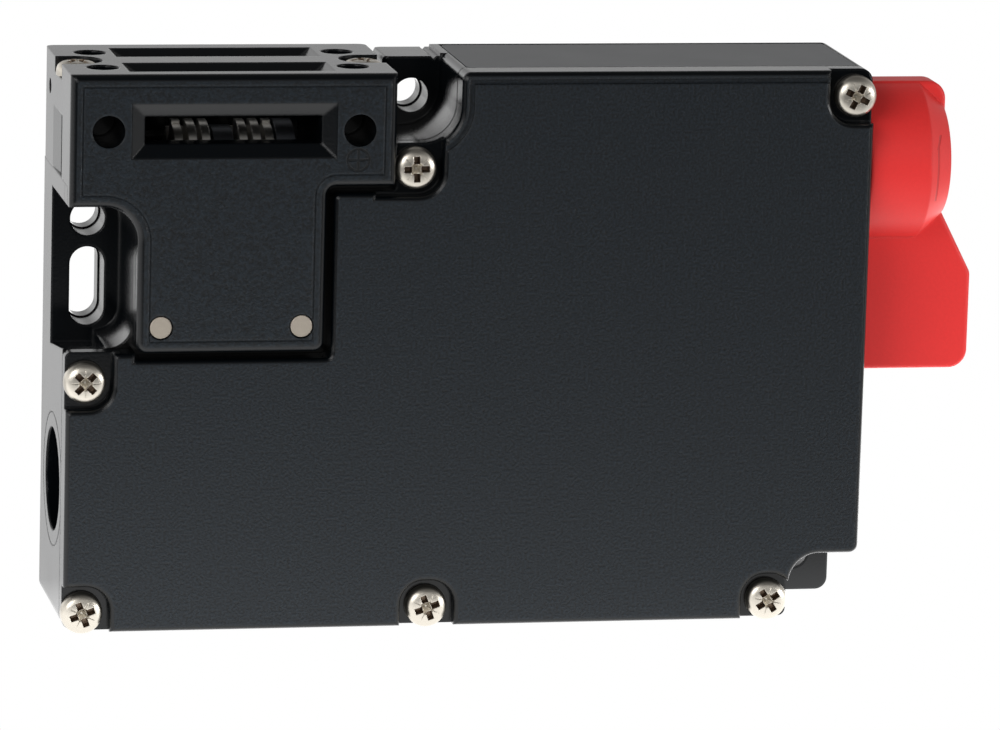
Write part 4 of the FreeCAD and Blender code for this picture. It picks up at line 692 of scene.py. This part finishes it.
def finished_screws(name, node, tree, axis, turns):
    """Replace a node's screws by finished ones: axis points out of the head, turns are its recess angles."""
    boxes = separate_solids(node)
    span = boxes[0][1] - boxes[0][0]
    along = [abs(part) for part in axis].index(1)
    blank = turned_blank(name + "_blank", span.x / 2 / mm, span[along] / mm - screw_head_height)
    points = seat_points(name + "_points", boxes, Vector(axis), along, turns)
    holder = add_object(name + "_points", points)
    modifier = holder.modifiers.new("screws", "NODES")
    modifier.node_group = tree
    given = {"Blank": blank, "Steel": screw_steel, "Recess Shade Steel": recess_shade_steel, **screw_inputs}
    for socket in tree.interface.items_tree:
        if socket.in_out == "INPUT" and socket.name in given:
            modifier[socket.identifier] = given[socket.name]
    piece = add_object(name, plain_mesh(holder, name))
    piece.data.shade_smooth()
    piece.data.set_sharp_from_angle(angle=math.radians(sharp_angle))
    holder.modifiers.remove(modifier)
    for spare in (holder, blank):
        bpy.data.objects.remove(spare)
    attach(piece, "case")
    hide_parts(node)


def rating_plate():
    """Bare plate with round corners in the recess on top of the cover."""
    low = Vector((label_left + plate_inset, label_front + plate_inset, label_floor + plate_gap)) * mm
    high = Vector((label_right - plate_inset, label_back - plate_inset, 0)) * mm
    corner = plate_corner * mm
    shape = bmesh.new()
    outline = []
    for index, (x, y) in enumerate([(high.x - corner, high.y - corner), (low.x + corner, high.y - corner),
                                    (low.x + corner, low.y + corner), (high.x - corner, low.y + corner)]):
        for step in range(plate_corner_steps + 1):
            angle = math.radians(90 * (index + step / plate_corner_steps))
            across = x + corner * math.cos(angle)
            along = y + corner * math.sin(angle)
            outline.append(shape.verts.new((across, along, low.z)))
    bottom = shape.faces.new(outline)
    raised = bmesh.ops.extrude_face_region(shape, geom=[bottom])
    top = [part for part in raised["geom"] if isinstance(part, bmesh.types.BMVert)]
    bmesh.ops.translate(shape, verts=top, vec=(0, 0, plate_thickness * mm))
    bmesh.ops.recalc_face_normals(shape, faces=shape.faces[:])
    mesh = bpy.data.meshes.new("rating_plate")
    shape.to_mesh(mesh)
    shape.free()
    mesh.materials.append(plate_grey)
    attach(add_object("rating_plate", mesh), "case")


def white_to_camera(tree, strength):
    """Socket that is one for the camera and a strength for everything else."""
    seen = tree.nodes.new("ShaderNodeLightPath").outputs["Is Camera Ray"]
    hidden = math_node(tree, "SUBTRACT", 1.0, seen)
    return math_node(tree, "ADD", math_node(tree, "MULTIPLY", strength, hidden), seen)


def lit_floor():
    """Floor that is white to the camera; its glow fades to the front and is strongest under the lever."""
    bpy.ops.mesh.primitive_plane_add(size=floor_size, location=(0, 0, cad_box[0][2] - floor_gap))
    floor = bpy.context.object
    floor.name = "floor"
    made = bpy.data.materials.new("white floor")
    made.use_nodes = True
    tree = made.node_tree
    axes = object_axes(tree)
    ahead = ranged(tree, axes["Y"], front_stretch, [share * floor_glow for share in front_shares])
    across = ranged(tree, axes["X"], width_stretch, width_shares)
    near_lever = ranged(tree, axes["X"], lever_stretch, (back_glow, lever_glow))
    beyond = ranged(tree, axes["X"], right_stretch, (near_lever, right_glow))
    behind = ranged(tree, axes["Y"], behind_stretch, (0.0, 1.0))
    before = math_node(tree, "MULTIPLY", math_node(tree, "MULTIPLY", ahead, across),
                       math_node(tree, "SUBTRACT", 1.0, behind))
    glow = math_node(tree, "ADD", before, math_node(tree, "MULTIPLY", beyond, behind))
    white = tree.nodes.new("ShaderNodeEmission")
    tree.links.new(white_to_camera(tree, glow), white.inputs["Strength"])
    tree.links.new(white.outputs["Emission"], tree.nodes["Material Output"].inputs["Surface"])
    tree.nodes.remove(tree.nodes["Principled BSDF"])
    floor.data.materials.append(made)


def dim_room():
    """World that is white to the camera, bright at the left, grey round the horizon, dark above and ahead."""
    world = bpy.data.worlds.new("studio")
    bpy.context.scene.world = world
    world.use_nodes = True
    tree = world.node_tree
    background = tree.nodes["Background"]
    place = tree.nodes.new("ShaderNodeTexCoord")
    axes = axes_of(tree, place.outputs["Generated"])
    horizon = ranged(tree, axes["X"], left_stretch, (left_glow, horizon_glow))
    overhead = ranged(tree, axes["Z"], ceiling_stretch, (horizon, ceiling_glow))
    ahead = ranged(tree, axes["Y"], ahead_stretch, ahead_shares)
    room = math_node(tree, "MULTIPLY", overhead, ahead)
    tree.links.new(white_to_camera(tree, room), background.inputs["Strength"])
    background.inputs["Color"].default_value = (1, 1, 1, 1)


def softbox(name, place, aim, size, power):
    """Rectangular area light at a place, aimed at a point."""
    light = bpy.data.lights.new(name, "AREA")
    light.shape = "RECTANGLE"
    light.size, light.size_y = size
    light.energy = power
    holder = add_object(name, light)
    holder.location = place
    holder.rotation_euler = (Vector(aim) - Vector(place)).to_track_quat("-Z", "Y").to_euler()


def place_camera():
    """Camera on a sphere about its target, rolled a little as in the photograph."""
    azimuth = math.radians(camera_azimuth)
    elevation = math.radians(camera_elevation)
    roll = math.radians(camera_roll)
    back = Vector((math.sin(azimuth) * math.cos(elevation), -math.cos(azimuth) * math.cos(elevation),
                   math.sin(elevation)))
    side = (-back).cross(Vector((0, 0, 1))).normalized()
    up = side.cross(-back)
    right = math.cos(roll) * side + math.sin(roll) * up
    above = math.cos(roll) * up - math.sin(roll) * side
    lens = bpy.data.cameras.new("camera")
    lens.sensor_width = sensor_width
    lens.lens = camera_focal_px * sensor_width / picture_width
    lens.clip_start = camera_near
    lens.clip_end = camera_far
    camera = add_object("camera", lens)
    turned = Matrix((right, above, back)).transposed().to_4x4()
    camera.matrix_world = Matrix.Translation(camera_target + back * camera_distance) @ turned
    bpy.context.scene.camera = camera


screws = screw_tree()
finished_screws("finished_cover_screws", "cover_screws", screws, (0, -1, 0), cover_screw_turns)
finished_screws("finished_head_screws", "head_screws", screws, (0, 0, 1), head_screw_turns)
rating_plate()

lit_floor()
dim_room()
for name, box in softboxes.items():
    softbox(name, **box)
place_camera()
bpy.context.scene.view_settings.view_transform = "Standard"
